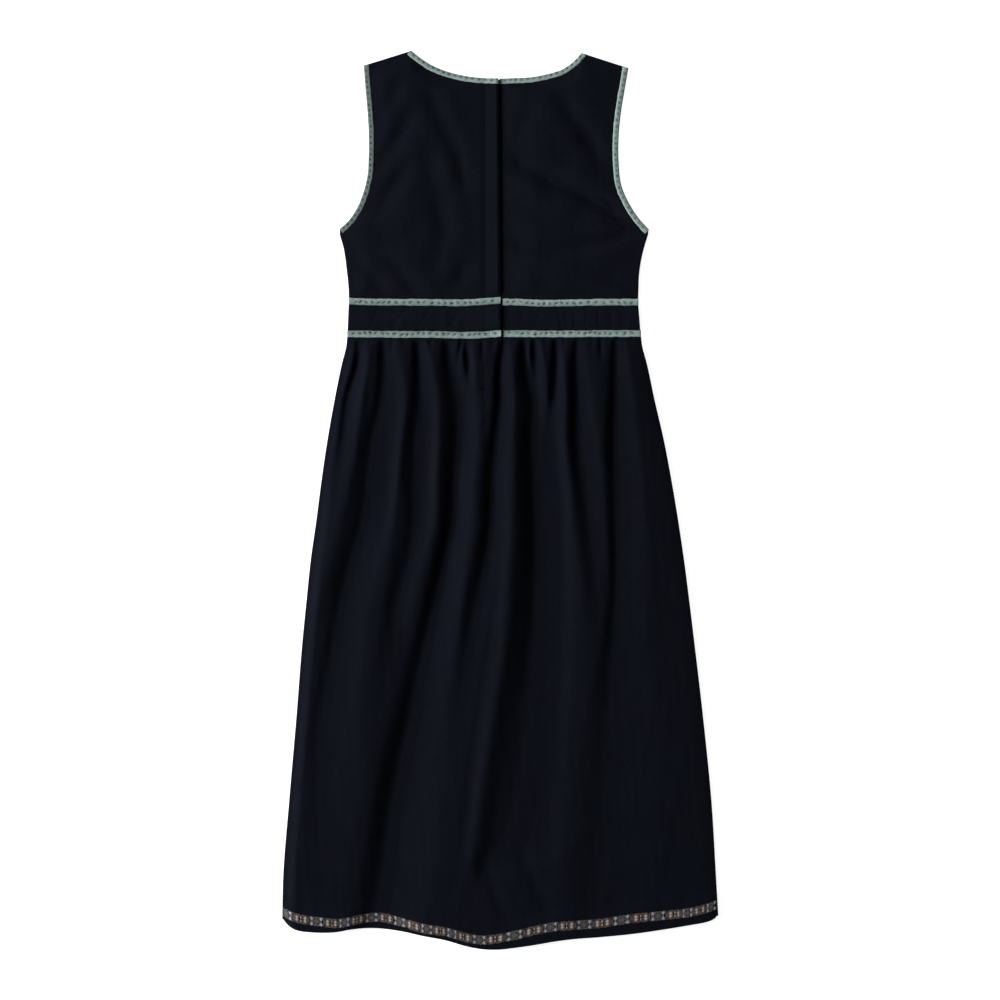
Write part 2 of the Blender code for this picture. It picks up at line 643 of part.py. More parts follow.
def fold_share(x, down):
    """Share of the height that is left once every fold and gather is pressed in."""
    left = np.ones_like(x)
    for k, fold in enumerate(FOLDS):
        name = fold["name"]
        if name not in FOLD_DEPTH:
            continue
        depth = np.interp(down, DEPTH_DOWN, FOLD_DEPTH[name])
        width = np.interp(down, (12, 690), FOLD_WIDTH[name])
        left *= 1 - depth * np.exp(-((x - guide(k, down)) / width) ** 2)
    for fold in GATHERS:
        reach = np.clip(down / fold["reach"], 0, 1)
        middle = fold["x"] + fold["drift"] * reach
        depth = fold["depth"] * (1 - ease(reach))
        left *= 1 - depth * np.exp(-((x - middle) / fold["width"]) ** 2)
    return left


def side_ease(x, down):
    """0 at the side seams, 1 away from them."""
    to_side = np.minimum(x - skirt_side(1, down), skirt_side(2, down) - x)
    return ease(to_side / EDGE_EASE)


def ribbon_rise(plan):
    """The hem region is lifted by the ribbon under the front."""
    above = plan[..., 1] - hem_y(plan[..., 0], 2)
    return RIBBON_RISE * (1 - ease((above - 5.5) / 6.5))


def back_skirt_low(plan, down, places, side):
    x = plan[..., 0]
    rise = np.interp(down, column(RISE, 0), column(RISE, 1))
    height = crown_at(places)[None] * rise * side_ease(x, down) * fold_share(x, down)
    low = BACK_BASE + ribbon_rise(plan) + height
    if side == "left":
        low = low + SKIRT_LAP_SHARE * lap_height(x) * (1 - ease(down / PLACKET))
    return low


def back_skirt(look, black):
    """One panel, slit at the top for the placket. Its left and right parts share the column
    below the slit."""
    places = skirt_columns(COLUMNS_BETWEEN)
    tail = ((2, 12.0), (2, 5.5), (2, 0.0), (2, -RIBBON * 0.5), (2, -RIBBON), (1, 0.0))
    slit = int(np.argmin(abs(places - CENTRE_FOLD)))
    rows_open = len(TOP_ROWS) - 1
    halves = []
    for side, part in (("left", slice(0, slit + 1)), ("right", slice(slit, None))):
        plan, down = skirt_plan(places[part], side, TOP_ROWS, LONG_ROWS, tail)
        edge = -1 if side == "left" else 0
        away = -SLIT_HALF if side == "left" else SLIT_HALF
        plan[:rows_open, edge, 0] += away
        low = back_skirt_low(plan, down, places[part], side)
        halves.append([plan, low])
    (plan_left, low_left), (plan_right, low_right) = halves
    plan_right[rows_open:, 0] = plan_left[rows_open:, -1]
    low_right[rows_open:, 0] = low_left[rows_open:, -1]
    high_left = wall_height(plan_left, low_left, CLOTH)
    high_right = wall_height(plan_right, low_right, CLOTH)
    high_right[rows_open:, 0] = high_left[rows_open:, -1]

    rows, columns = low_left.shape
    numbers_left = np.arange(rows * columns).reshape(rows, columns)
    start = rows * columns
    numbers_right = np.zeros(low_right.shape, dtype=int)
    own = []
    for r in range(rows):
        for c in range(low_right.shape[1]):
            if c == 0 and r >= rows_open:
                numbers_right[r, c] = numbers_left[r, -1]
            else:
                numbers_right[r, c] = start + len(own)
                own.append((r, c))
    own = tuple(np.array(own).T)
    plan = np.vstack([plan_left.reshape(-1, 2), plan_right[own]])
    low = np.concatenate([low_left.ravel(), low_right[own]])
    high = np.concatenate([high_left.ravel(), high_right[own]])
    faces = grid_faces(numbers_left.tolist()) + grid_faces(numbers_right.tolist())
    closed_wall("skirt_back", plan, low, high, faces, look)

    band = slice(rows - 4, rows - 1)
    plan = np.concatenate([plan_left[band], plan_right[band, 1:]], axis=1)
    seat = np.concatenate([high_left[band], high_right[band, 1:]], axis=1) + GAP
    wall_from_grid("hem_ribbon_back", plan, seat, seat + TRIM, black)


def channel_share(places):
    """1 in the middle between two folds, 0 at the folds: where the front is gathered up."""
    off = (places - np.floor(places) - 0.5) / CHANNEL_SHARE
    return np.maximum(0.0, 1 - off ** 2) ** 2


def front_skirt(look, black):
    """The front lies flat, with gathers as shallow channels in its underside."""
    places = skirt_columns([(0.25, 0.5, 0.75)] * (len(FOLDS) - 1))
    tail = ((2, 5.5), (2, 0.5), (2, -RIBBON), (1, 2.0))
    plan, down = skirt_plan(places, "front", FRONT_TOP_ROWS, FRONT_LONG_ROWS, tail)
    plan[:, 0, 0] += FRONT_INSET
    plan[:, -1, 0] -= FRONT_INSET
    x = plan[..., 0]
    share = np.interp(down, column(CHANNEL, 0), column(CHANNEL, 1)) * channel_share(places)[None]
    low = crown_at(places)[None] * share * side_ease(x, down) ** 2 * fold_share(x, down)
    low[-3:] = RIBBON_RISE
    wall_from_grid("skirt_front", plan, low, low + CLOTH, look)
    band = plan[-3:-1].copy()
    band[0, :, 1] -= 0.5
    floor = np.zeros(band.shape[:2])
    wall_from_grid("hem_ribbon_front", band, floor, floor + TRIM, black)


# The dress ---------------------------------------------------------------------------------


def clear_scene():
    for old in list(bpy.data.objects):
        bpy.data.objects.remove(old, do_unlink=True)


def build():
    clear_scene()
    cloth = material("navy_cloth", NAVY, 0.9)
    sage = material("sage_trim", SAGE, 0.6)
    black = material("hem_ribbon", RIBBON_BLACK, 0.7)

    for side, outward in (("left", 1.0), ("right", -1.0)):
        plan, low, high = back_bodice(side, cloth)
        arm = 0 if side == "left" else -1
        rows = slice(0, ARM_ROWS)
        folded_binding("armhole_binding_back_" + side, plan[rows, arm], low[rows, arm],
                       high[rows, arm], ARMHOLE_BINDING[side], outward, sage)
        neck = slice(SHOULDER_COLUMNS, None) if side == "left" else slice(1, -SHOULDER_COLUMNS)
        folded_binding("neck_binding_back_" + side, plan[0, neck], low[0, neck], high[0, neck],
                       NECK_BINDING, -1.0, sage)
        x_lower, y_lower, seat = back_waist(side, plan[-1, :, 0], cloth, sage)
        if side == "left":
            trim_end_tab(x_lower[-1], y_lower[-1], seat[-1], sage)

    plan, scoop = front_bodice(cloth)
    flat_binding("neck_binding_front", scoop, NECK_BINDING, -1.0, sage)
    for side, edge, outward in (("left", 0, 1.0), ("right", -1, -1.0)):
        flat_binding("armhole_binding_front_" + side, plan[:ARM_ROWS, edge],
                     ARMHOLE_BINDING[side], outward, sage)
    front_waist(plan[-1, :, 0], cloth, sage)

    back_skirt(cloth, black)
    front_skirt(cloth, black)


build()
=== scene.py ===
"""Looks of a child's sleeveless bunad dress that lies flat with its back up.

Frame: X runs across the dress, Y toward the neck and Z up from the surface it lies on. Sizes are
millimetres; MM turns them into the metres of the frame. Every piece of cloth is a thin closed
shell: a grid of points on its outer face, with the inner face set back along the normals.
"""

import math

import bpy
import numpy as np
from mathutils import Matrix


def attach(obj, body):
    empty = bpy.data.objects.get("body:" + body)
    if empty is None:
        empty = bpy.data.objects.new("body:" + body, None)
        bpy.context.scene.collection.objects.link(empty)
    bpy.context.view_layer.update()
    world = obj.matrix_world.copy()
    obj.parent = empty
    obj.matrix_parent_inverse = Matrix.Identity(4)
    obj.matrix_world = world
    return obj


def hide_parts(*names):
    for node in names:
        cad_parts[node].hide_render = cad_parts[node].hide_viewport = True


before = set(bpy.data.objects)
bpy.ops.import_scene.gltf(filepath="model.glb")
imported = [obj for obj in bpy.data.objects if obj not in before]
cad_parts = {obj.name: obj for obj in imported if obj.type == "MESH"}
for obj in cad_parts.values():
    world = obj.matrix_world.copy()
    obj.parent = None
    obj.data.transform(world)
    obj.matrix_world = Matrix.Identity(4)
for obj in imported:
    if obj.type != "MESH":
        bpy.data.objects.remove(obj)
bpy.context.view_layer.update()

MM = 0.001

# Walls of the solids, which set the heights of the layers
CLOTH = 1.4
TRIM = 1.0
GAP = 0.3
BACK_BASE = CLOTH + GAP
SIDES = ("left", "right")

# Walls of the shells that show
SHELL = 0.9             # woven cloth, with its seam allowance
VELVET = 0.6            # trims and bindings
RIBBON_WALL = 0.5
SEAM_ROLL = 1.5         # radius with which the back turns over a side seam
SEAM_FLOOR = 0.25       # the turned edge ends this far above the surface
TRIM_ROLL = 1.2         # radius with which a trim turns over there
SHARP_EDGE = 1.0        # a shell's edges sharper than this, in radians, are shaded sharp

# Trims and bindings
TRIM_HALF = 3.82
TRIM_RISE = 1.35        # crown of a trim over the cloth
TRIM_BODY = 1.3         # height of its section over which the puckers press it in
PUCKER_DEPTH = 0.85
END_TAB = 12.5
NECK_BINDING = 6.2
ARMHOLE_BINDING = {"left": 6.3, "right": 6.6}
EDGE_INSET = 1.3        # a bound edge lies this far inside its binding
NECK_PUCKER_LINE = -1.1  # the neck binding is puckered this far outside its middle
RIBBON = 10.5
RIBBON_RISE = TRIM + GAP

# Centre back, where the left side laps over the right
LAP = 18.0
LAP_SLOPE = 36.0
LAP_RISE = 1.1
LAP_EDGE = ((-1.7, 473.0), (1.0, 186.0))
LAP_SHOWS = 0.8         # the right binding and trims show from this far beside the lap
TRIM_SHOWS = 2.4
LAP_FOLD = 2.1          # the lap's folded edge stands this much over one layer
LAP_ROLL = 0.9          # and drops this much again where it turns over
BAND_FOLD = 0.75        # share of that fold that runs on over the waistband
STITCH_DIP = 0.45       # depth of the stitched line that holds it
PLACKET = 57.0
SLIT_HALF = 0.25
SLIT_OPENS = (8.0, 12.0)    # the slit opens this far down, over this much
SKIRT_LAP_SHARE = 0.4
FRONT_INSET = 1.2

# Outer edges of the bindings and side seams, each from the neck downward
NECK = [(-100.3, 506.7), (-89.6, 498), (-73.3, 488.2), (-58.6, 482.7), (-39.5, 478.1), (-20, 475.8),
    (0, 475.2), (17, 475.8), (36, 476.9), (55, 480.7), (69.3, 485.2), (83.4, 494.8), (91.9, 504.2)]
FRONT_NECK = [(-99.2, 504.5), (-86, 466), (-62, 430), (-32, 407), (-3, 400), (26, 406), (56, 429),
    (78, 464), (90.8, 502)]
ARMHOLE = {
    "left": [(-154, 490), (-152.3, 467), (-149.5, 434.5), (-148.3, 411), (-148.5, 387),
        (-149.6, 367), (-153.8, 348.5), (-161.7, 328.6), (-171.2, 314.6), (-181.4, 305)],
    "right": [(145, 487), (141.6, 467), (136.3, 434.5), (134.1, 411), (134, 382), (137.4, 353.5),
        (146.8, 332.5), (157, 317), (168.4, 304.4)],
}
SIDE = {
    "left": [(-181, 299), (-176.9, 284.5), (-173.4, 261), (-170.8, 232), (-170.8, 223.8)],
    "right": [(167.2, 299), (161.4, 279), (157.4, 256.5), (156.3, 232), (156, 223.3)],
}
NECK_TIP_INSET = (1.1, -0.6)

# Middles of the two waist trims: x, upper trim y, lower trim y
WAIST = {
    "left": [(-171.5, 223.8, 186.8), (-150, 222.9, 186.6), (-110, 222.5, 186.2), (-68, 222.2, 186),
        (-50, 221.8, 185.4), (-34, 222.2, 185.3), (-20, 223.1, 185.6), (-9, 223.9, 186.4),
        (3, 224.8, 187.3)],
    "right": [(-18, 223, 186.6), (3.5, 222.8, 186.8), (17, 222.7, 187), (45, 221.5, 186.8),
        (79, 221.8, 186.8), (113, 222.5, 187.1), (158.5, 222.6, 187.2)],
}
WAIST["front"] = WAIST["left"][:5] + WAIST["right"][3:]
BAND_SIDE = {"left": (-170.8, -172.3), "right": (156.0, 158.8)}

# Skirt side seams: distance down from the waist seam, left x, right x
SKIRT_SIDE = [(0, -172.4, 159), (14, -173.7, 160.6), (32, -178.2, 165.4), (74, -186.8, 174.4),
    (119, -194.8, 184.8), (165, -201.6, 193.6), (210, -207.4, 201.1), (255, -213.8, 207.8),
    (300, -218.5, 213.6), (345, -223, 219.1), (435, -230.2, 229.6), (525, -238, 238.6),
    (615, -245, 244.1), (670, -246, 247.2)]

# Hem: x, y of the hem, y of the upper edge of the ribbon
HEM = [(-246, -470.8, -459.5), (-244.2, -474.4, -460.4), (-241.2, -478.2, -462),
    (-237, -481.9, -464), (-232, -484.7, -465.7), (-225.5, -486.7, -467.4), (-214, -487.9, -469.4),
    (-200, -488.4, -471), (-184, -487.6, -472.6), (-170, -485.2, -470.6), (-153, -483.8, -467.3),
    (-136, -484.2, -466.3), (-111, -487.2, -471.6), (-86, -492.2, -478.3), (-60, -497.2, -482.2),
    (-38, -503.6, -488.4), (-20, -506.8, -491.2), (-3, -507.4, -489.6), (17, -505.3, -485.8),
    (43, -501.6, -479.6), (60, -498.6, -476.4), (78, -496.2, -475), (112, -493.7, -472.8),
    (147, -490.4, -467.6), (186, -485, -463.7), (216.5, -480, -460.2), (231, -477.4, -456.6),
    (238, -475.3, -454.6), (242, -473.1, -452.9), (244.8, -470.2, -451.3), (246.6, -466.4, -450)]

# Valleys of the back skirt. Each row: distance down, x, depth (1 reaches the front), half width to
# its left and to its right
VALLEYS = {
    "v1": [(6, -160, 0.9, 4, 4), (29, -161, 0.9, 4, 6), (74, -173, 0.9, 5, 9),
        (119, -178, 0.6, 6, 9), (165, -186, 0.2, 8, 10), (205, -191, 0, 8, 10)],
    "v2": [(6, -132, 0.9, 4, 5), (29, -132, 0.9, 5, 9), (74, -134, 0.7, 7, 15),
        (119, -144, 0.64, 8, 16), (165, -149, 0.62, 9, 17), (209, -155, 0.6, 9, 17),
        (254, -167, 0.6, 10, 16), (299, -179, 0.58, 10, 16), (345, -186, 0.55, 11, 16),
        (435, -201, 0.44, 12, 22), (525, -203, 0.32, 14, 30), (615, -198, 0.2, 18, 32),
        (690, -192, 0.1, 18, 32)],
    "v3": [(6, -94, 0.9, 4, 5), (29, -93, 0.9, 4.5, 8), (74, -91, 0.66, 7, 12),
        (119, -95, 0.58, 8, 13), (165, -97, 0.52, 8, 14), (209, -97, 0.5, 8, 14),
        (254, -102, 0.44, 9, 13), (299, -114, 0.4, 11, 14), (345, -117, 0.34, 14, 14),
        (400, -126, 0.15, 14, 15), (450, -134, 0, 14, 15)],
    "v4": [(6, -60, 1, 5, 6), (29, -58, 1, 7, 9), (51, -53, 1, 10, 12), (74, -48, 1, 11, 13),
        (119, -48, 0.95, 10, 12), (165, -52, 0.95, 9, 11), (209, -54, 0.95, 9, 11),
        (254, -63, 0.92, 9, 12), (299, -73, 0.92, 11, 15), (345, -84, 0.94, 12, 20),
        (390, -93.5, 0.96, 13.5, 24), (435, -102, 0.99, 15, 28), (480, -112, 1, 15.5, 30),
        (525, -120.5, 1, 16.5, 28), (570, -127, 1, 17, 28), (615, -133, 1, 18, 28),
        (690, -147, 0.9, 19, 28)],
    "t4": [(6, -38, 0.8, 3, 3), (18, -38, 0.95, 4, 4), (40, -36, 0.85, 3.5, 4), (60, -35, 0, 4, 5)],
    "placket": [(6, 4, 0.8, 4, 4), (40, -1, 0.8, 4, 7), (74, -1, 0.78, 4.5, 9),
        (119, -5, 0.62, 6, 9), (165, -9, 0.6, 7, 9), (209, -10, 0.56, 7, 10),
        (254, -16, 0.5, 8, 11), (299, -25, 0.42, 10, 13), (345, -34, 0.36, 11, 13),
        (435, -47, 0.24, 12, 14), (525, -62, 0, 12, 14)],
    "v7": [(280, 2, 0, 5, 8), (299, -3, 0.1, 5, 8), (345, -10, 0.14, 5, 9), (435, -24, 0.12, 6, 9),
        (525, -36, 0.1, 6, 9), (600, -42, 0, 6, 9)],
    "v8": [(6, 27, 0.95, 4, 3), (29, 28, 1, 5, 3), (51, 32, 1, 8, 7), (74, 38, 1, 10, 9),
        (119, 35.5, 0.97, 9, 19), (165, 39, 0.97, 10, 21), (209, 41, 0.97, 11, 23),
        (254, 41.5, 0.97, 12, 25), (299, 40, 0.97, 14, 28), (345, 38, 0.9, 16, 32),
        (390, 34, 0.78, 18, 36), (435, 30, 0.66, 21, 42), (480, 25, 0.56, 23, 46),
        (525, 18, 0.48, 25, 48), (560, 8, 0.44, 24, 46), (582, -2, 0.46, 22, 40),
        (600, -12, 0.4, 18, 32), (614, -19, 0.1, 14, 24), (635, -24, 0, 10, 20)],
    "u8": [(6, 38, 0.8, 3, 3), (18, 39, 1, 3.5, 4), (40, 39, 1, 4, 6), (60, 39, 0.6, 4, 8),
        (80, 40, 0, 5, 8)],
    "t8": [(90, 50, 0.1, 14, 8), (119, 56, 0.45, 15, 7), (165, 62, 0.6, 17, 7),
        (254, 64, 0.6, 18, 8), (345, 62, 0.5, 20, 9), (435, 58, 0.36, 22, 10),
        (525, 50, 0.24, 26, 12), (600, 42, 0.1, 26, 12), (660, 40, 0, 26, 12)],
    "t2": [(60, -124, 0, 8, 6), (90, -121, 0.3, 10, 6), (119, -124, 0.4, 10, 6),
        (165, -128, 0.4, 11, 6), (209, -134, 0.3, 12, 7), (254, -142, 0, 12, 7)],
    "t3": [(60, -86, 0, 8, 5), (90, -81, 0.3, 9, 5), (119, -81, 0.4, 9, 5), (165, -84, 0.4, 10, 5),
        (209, -86, 0.3, 10, 6), (254, -94, 0, 10, 6)],
    "v10": [(6, 63, 0.9, 3.5, 4), (40, 62, 0.92, 4, 5), (74, 60, 0.8, 5, 7), (119, 56, 0.3, 6, 9),
        (165, 54, 0.1, 7, 10), (230, 50, 0, 8, 12)],
    "v11": [(6, 87, 0.7, 3.5, 4), (29, 85, 0.9, 4, 7), (74, 86, 0.85, 5, 9), (119, 87, 0.75, 6, 13),
        (165, 93, 0.6, 8, 15), (209, 101, 0.52, 10, 15), (254, 106, 0.4, 12, 14),
        (299, 112, 0.28, 14, 14), (345, 112, 0.2, 16, 14), (435, 104, 0, 18, 16)],
    "v13": [(6, 131, 0.95, 4, 5), (29, 130, 0.97, 5, 7), (74, 130, 0.95, 6, 11),
        (119, 129, 0.9, 7, 14), (165, 130, 0.88, 7.5, 16), (209, 131, 0.84, 7.5, 17),
        (254, 132, 0.8, 7, 17), (299, 131, 0.74, 7.5, 18), (345, 128, 0.7, 9, 20),
        (390, 126, 0.68, 14, 24), (435, 124, 0.66, 19, 28), (480, 123, 0.64, 22, 30),
        (525, 121, 0.58, 23, 30), (570, 118, 0.5, 23, 30), (615, 114, 0.4, 23, 30),
        (690, 108, 0.2, 23, 30)],
}
VALLEY_LIP = 0.30       # largest share of a valley's depth that its steep right lip takes up
VALLEY_LIP_WIDTH = 0.85 # width of that lip against the valley's left half width
LIP_REACH = 8.0         # a valley whose right half width is longer has a lower lip
VALLEY_BEND = 0.01      # how softly the long rise at a valley's right side ends
VALLEY_RISE = 1.7       # above 1, that rise starts flat and grows steeper
VALLEY_SAG = 0.14       # how much of the depth the cloth sags by, a third of the way up
SAG_PEAK = 6.75         # brings the sag's curve up to 1 there
RUN_IN = 7.0            # a valley or crest starts this far above its first row

# Crests of the back skirt. Each row: distance down, x, height over the crown, half width to its
# left and to its right
CRESTS = {
    "r1": [(10, -146, 1.2, 6, 5), (74, -157, 2.8, 10, 7), (119, -164, 3, 11, 8),
        (165, -171, 3, 12, 8), (209, -180, 2.8, 12, 9), (254, -191, 2.4, 12, 10),
        (299, -203, 1.6, 12, 10), (345, -214, 0, 12, 10)],
    "r2": [(10, -110, 1.2, 7, 5), (74, -108, 2.8, 12, 7), (119, -113, 2.8, 12, 8),
        (165, -117, 2.8, 12, 8), (209, -121, 2.6, 13, 9), (254, -127, 2.4, 14, 11),
        (299, -135, 2.2, 18, 14), (345, -142, 2, 20, 18), (390, -154, 2, 22, 26),
        (435, -160, 2.2, 30, 32), (525, -170, 2.6, 36, 32), (600, -177, 2.4, 36, 30),
        (690, -186, 1.6, 32, 28)],
    "r3": [(10, -80, 1.2, 6, 5), (74, -72, 2.8, 12, 7), (119, -70, 2.6, 14, 7),
        (165, -73, 2.6, 15, 7), (209, -75, 2.6, 15, 7), (254, -86, 2.6, 14, 8),
        (299, -99, 1.8, 13, 9), (345, -114, 1, 14, 12), (435, -130, 0, 16, 14)],
    "r4": [(10, -28, 1.4, 7, 6), (74, -29, 2.2, 10, 6), (119, -24, 2.2, 14, 8),
        (165, -26, 2.2, 14, 8), (209, -28, 2.4, 14, 9), (254, -35, 2.2, 14, 10),
        (299, -46, 2, 13, 11), (345, -53, 1.8, 14, 11), (435, -67, 1.4, 16, 12),
        (570, -86, 0, 18, 14)],
    "r5": [(10, 14, 1.4, 6, 5), (51, 14, 2.4, 8, 7), (74, 15, 2.8, 8, 7), (119, 15, 3.2, 8, 8),
        (165, 15, 3.2, 8, 8), (209, 15, 3.2, 8, 9), (254, 12, 3.2, 8, 10), (299, 8, 3.2, 8, 11),
        (345, 4, 3.2, 8, 11), (435, -10, 3.2, 8, 13), (525, -23, 3.2, 8, 14),
        (575, -28, 2.8, 8, 13), (598, -31, 2, 7, 9), (612, -33, 0.5, 6, 8), (626, -34, 0, 6, 8)],
    "r6": [(10, 49, 1.2, 6, 5), (40, 49, 1.6, 6, 5), (74, 47, 1.6, 7, 6), (130, 44, 0, 8, 6)],
    "r7": [(10, 70, 1.2, 6, 5), (40, 72, 2.2, 7, 6), (74, 73, 2.6, 8, 6), (119, 73, 2.4, 8, 6),
        (165, 77, 2.6, 8, 8), (209, 80, 2.6, 9, 9), (254, 84, 2.4, 12, 12), (299, 83, 2.2, 12, 18),
        (345, 79, 2, 12, 24), (435, 76, 1.8, 12, 26), (525, 75, 1.4, 14, 26), (600, 73, 1, 14, 26),
        (690, 70, 0.4, 14, 20)],
    "r8": [(10, 110, 1, 7, 6), (74, 112, 1.4, 14, 8), (119, 112, 1.4, 13, 9),
        (165, 114, 1.6, 13, 8), (209, 117, 1.6, 12, 7), (254, 121, 1.4, 13, 6),
        (299, 119, 1, 14, 8), (345, 114, 0.8, 14, 10), (435, 100, 0, 14, 12)],
    "r9": [(10, 146, 0.4, 7, 7), (74, 150, 0.8, 12, 12), (165, 158, 1, 14, 14),
        (299, 167, 0.8, 18, 18), (390, 175, 0, 22, 22)],
}
CROWN = [(-250, 5.5), (-190, 6.8), (-120, 7.8), (-60, 8.2), (10, 8), (60, 7), (100, 6.4),
    (125, 5.6), (150, 4.6), (175, 3.6), (210, 2.4), (250, 1.4)]  # x, height between valleys

# Soft creases below the end of the sharpest fold: depth, half width, points
HEM_CREASES = [
    (1.4, 8.0, [(-16, -416), (-4, -446), (8, -478)]),
    (1.5, 9.0, [(22, -398), (40, -432), (54, -462)]),
    (0.6, 6.0, [(-28, -409), (0, -424)]),
    (0.5, 4.0, [(-34, 62), (-18, 82), (-6, 100)]),
    (0.5, 3.5, [(-34, 84), (-16, 106)]),
]
RUMPLE = 0.07           # height of the cloth's fine unevenness

# Short gathers that fade below the waistband: x, drift to the side, depth, half width, reach
GATHERS = [(-152, -5, 0.5, 2.6, 26), (-145, -4, 0.4, 2.2, 18), (-121, -2, 0.6, 2.6, 30),
    (-108, 0, 0.35, 2.2, 16), (-90, 2, 0.35, 2.2, 18), (-79, 2, 0.45, 2.6, 24),
    (-71, 4, 0.35, 2.2, 16), (-42, -12, 0.85, 3.4, 60), (-51, -3, 0.4, 2.4, 20),
    (-33, -2, 0.3, 2.2, 18), (-20, 0, 0.45, 2.4, 40), (-8, 0, 0.35, 2.2, 22), (14, 0, 0.4, 2.4, 22),
    (40, -7, 0.9, 3.4, 58), (33, -1, 0.4, 2, 20), (52, -1, 0.4, 2.2, 20), (73, -2, 0.5, 2.4, 28),
    (95, 0, 0.35, 2.2, 20), (104, 1, 0.4, 2.2, 20), (114, 0, 0.7, 3, 38), (121, 1, 0.35, 2, 18),
    (138, 1, 0.4, 2.2, 20), (147, 2, 0.35, 2.4, 22)]

# Height of the back skirt over the front: distance down, share of the crown
RISE = [(0, 0), (4.4, 0), (6.5, 0.27), (10, 0.43), (16, 0.55), (30, 0.66), (74, 0.8), (165, 0.88),
    (345, 1), (525, 1.04), (690, 0.9)]
EDGE_EASE = (15.0, 22.0)    # the folds flatten this close to the left and right seams

# Bodice: soft drapes as (depth, half width, points of the line it runs along)
PUFF = 3.0
PUFF_REACH = 26.0
CENTRE_EASE = 0.6       # beside the centre back the puff falls more slowly
OUTER_EASE = {"left": 1.0, "right": 0.5}     # and so it does beside the right armhole
DRAPE_SCALE = {"left": 1.25, "right": 1.3}
ARM_CREASE_SCALE = 1.3
ARM_CREASE_EASE = 6.0   # the arm's creases fade this close to the armhole and the shoulder
LUMPS = (0.30, (30, 80))        # height and wave lengths of the bodice's broad unevenness
WRINKLES = (0.035, (6, 16))     # and of its fine one
DRAPES = [
    (1.2, 9, [(-112, 475), (-128, 437)]),
    (2.0, 10, [(-97, 440), (-113, 412), (-133, 380)]),
    (1.9, 11, [(-78, 456), (-58, 412), (-42, 374), (-22, 322)]),
    (2.4, 11, [(-104, 376), (-120, 352), (-144, 320)]),
    (2.2, 13, [(-82, 378), (-68, 340), (-62, 306), (-74, 262)]),
    (1.6, 12, [(-60, 236), (-28, 262)]),
    (1.4, 8, [(-158, 268), (-132, 234)]),
    (1.3, 8, [(-122, 268), (-94, 234)]),
    (0.9, 7, [(-160, 283), (-118, 278)]),
    (2.6, 12, [(70, 452), (97, 412), (128, 372)]),
    (3.8, 11, [(10, 386), (58, 362), (104, 340), (146, 318)]),
    (2.6, 9, [(8, 290), (58, 280), (86, 282), (158, 300)]),
    (1.4, 11, [(94, 260), (150, 246)]),
    (1.0, 10, [(34, 440), (22, 408)]),
    (1.0, 9, [(20, 332), (70, 316), (118, 318)]),
]
# Fine creases that fan out from the armholes: depth, half width, points
ARM_CREASES = [
    (0.55, 2.2, [(72, 352), (118, 338), (150, 326)]),
    (0.60, 2.0, [(66, 334), (112, 325), (158, 310)]),
    (0.50, 2.0, [(88, 322), (128, 312), (163, 303)]),
    (0.40, 2.0, [(84, 306), (126, 303), (160, 297)]),
    (0.45, 2.4, [(96, 372), (124, 362), (137, 352)]),
    (0.35, 2.0, [(-168, 310), (-140, 318), (-122, 330)]),
    (0.35, 2.0, [(-172, 300), (-150, 303), (-128, 300)]),
]
BAND_CREASES = [
    (0.45, 2.6, [(-120, 195), (-108, 213)]),
    (0.40, 2.4, [(-92, 194), (-79, 214)]),
    (0.40, 2.6, [(-58, 194), (-43, 213)]),
    (0.30, 2.0, [(-145, 196), (-139, 214)]),
    (0.45, 2.0, [(69, 193), (66, 216)]),
    (0.45, 2.0, [(84, 193), (83, 215)]),
    (0.40, 1.8, [(96, 193), (98, 216)]),
    (0.45, 2.0, [(112, 194), (110, 215)]),
    (0.40, 2.0, [(127, 193), (124, 215)]),
    (0.35, 2.4, [(40, 194), (46, 214)]),
]

# Hem ribbon: x of the middle of each rose figure, and the chart of a quarter of the repeat. Its
# rows go from the middle of the ribbon to its edge, its columns from the middle of a rose figure
# to the middle of the next cross: r rose, c cream, l grey line, g grey green, w white
ROSES_X = (-259, -224.4, -189.4, -161.2, -128.5, -98.1, -67.1, -41.2, -5.6, 38.3, 75.1, 115, 159,
           197.3, 225.5, 251)
CHART = (
    "r..rrr.rccr.rrrrl...l..l.g.gggggg",
    "r..rrr.cccc.rrrrl...l..l..g.ggggg",
    "c..rrrcccccc.rrr.l..l.ww.l..gg.gg",
    "c..rrrcccccc.rr..l..l.wwl..l.gggg",
    "cr..rr.cccc.rrr.l..l.wwww.l..g.gg",
    "rrr..rr.cc.rrr..l..l.wwwww..l..g.",
    "rrrrrrrrrrrrrr...l..wwwwww.l.l..l",
    "rrrrrrrrrrrrr......l.www..l.l.l.l",
    "..rrrrrrrrr...l...l...l.l...l.l..",
)
CHART_COLOURS = "rclgw"
RAISED = 0.16           # the figures' threads float this far over the ground

# Grids
SKIRT_COLUMNS = (128, 158)  # left and right of the placket
SKIRT_TOP = 30.0        # the rows are close together this far below the waist seam
SKIRT_TOP_STEP = 1.5
SKIRT_ROWS = 156
SKIRT_LONG = 690.0
FRONT_COLUMNS = (80, 90)
FRONT_ROWS = 120
BAND_ROWS = 24
BAND_COLUMNS = 150
FRONT_BAND_COLUMNS = 220
TRIM_COLUMNS = {"left": 190, "right": 180}


# ---- Curves ----


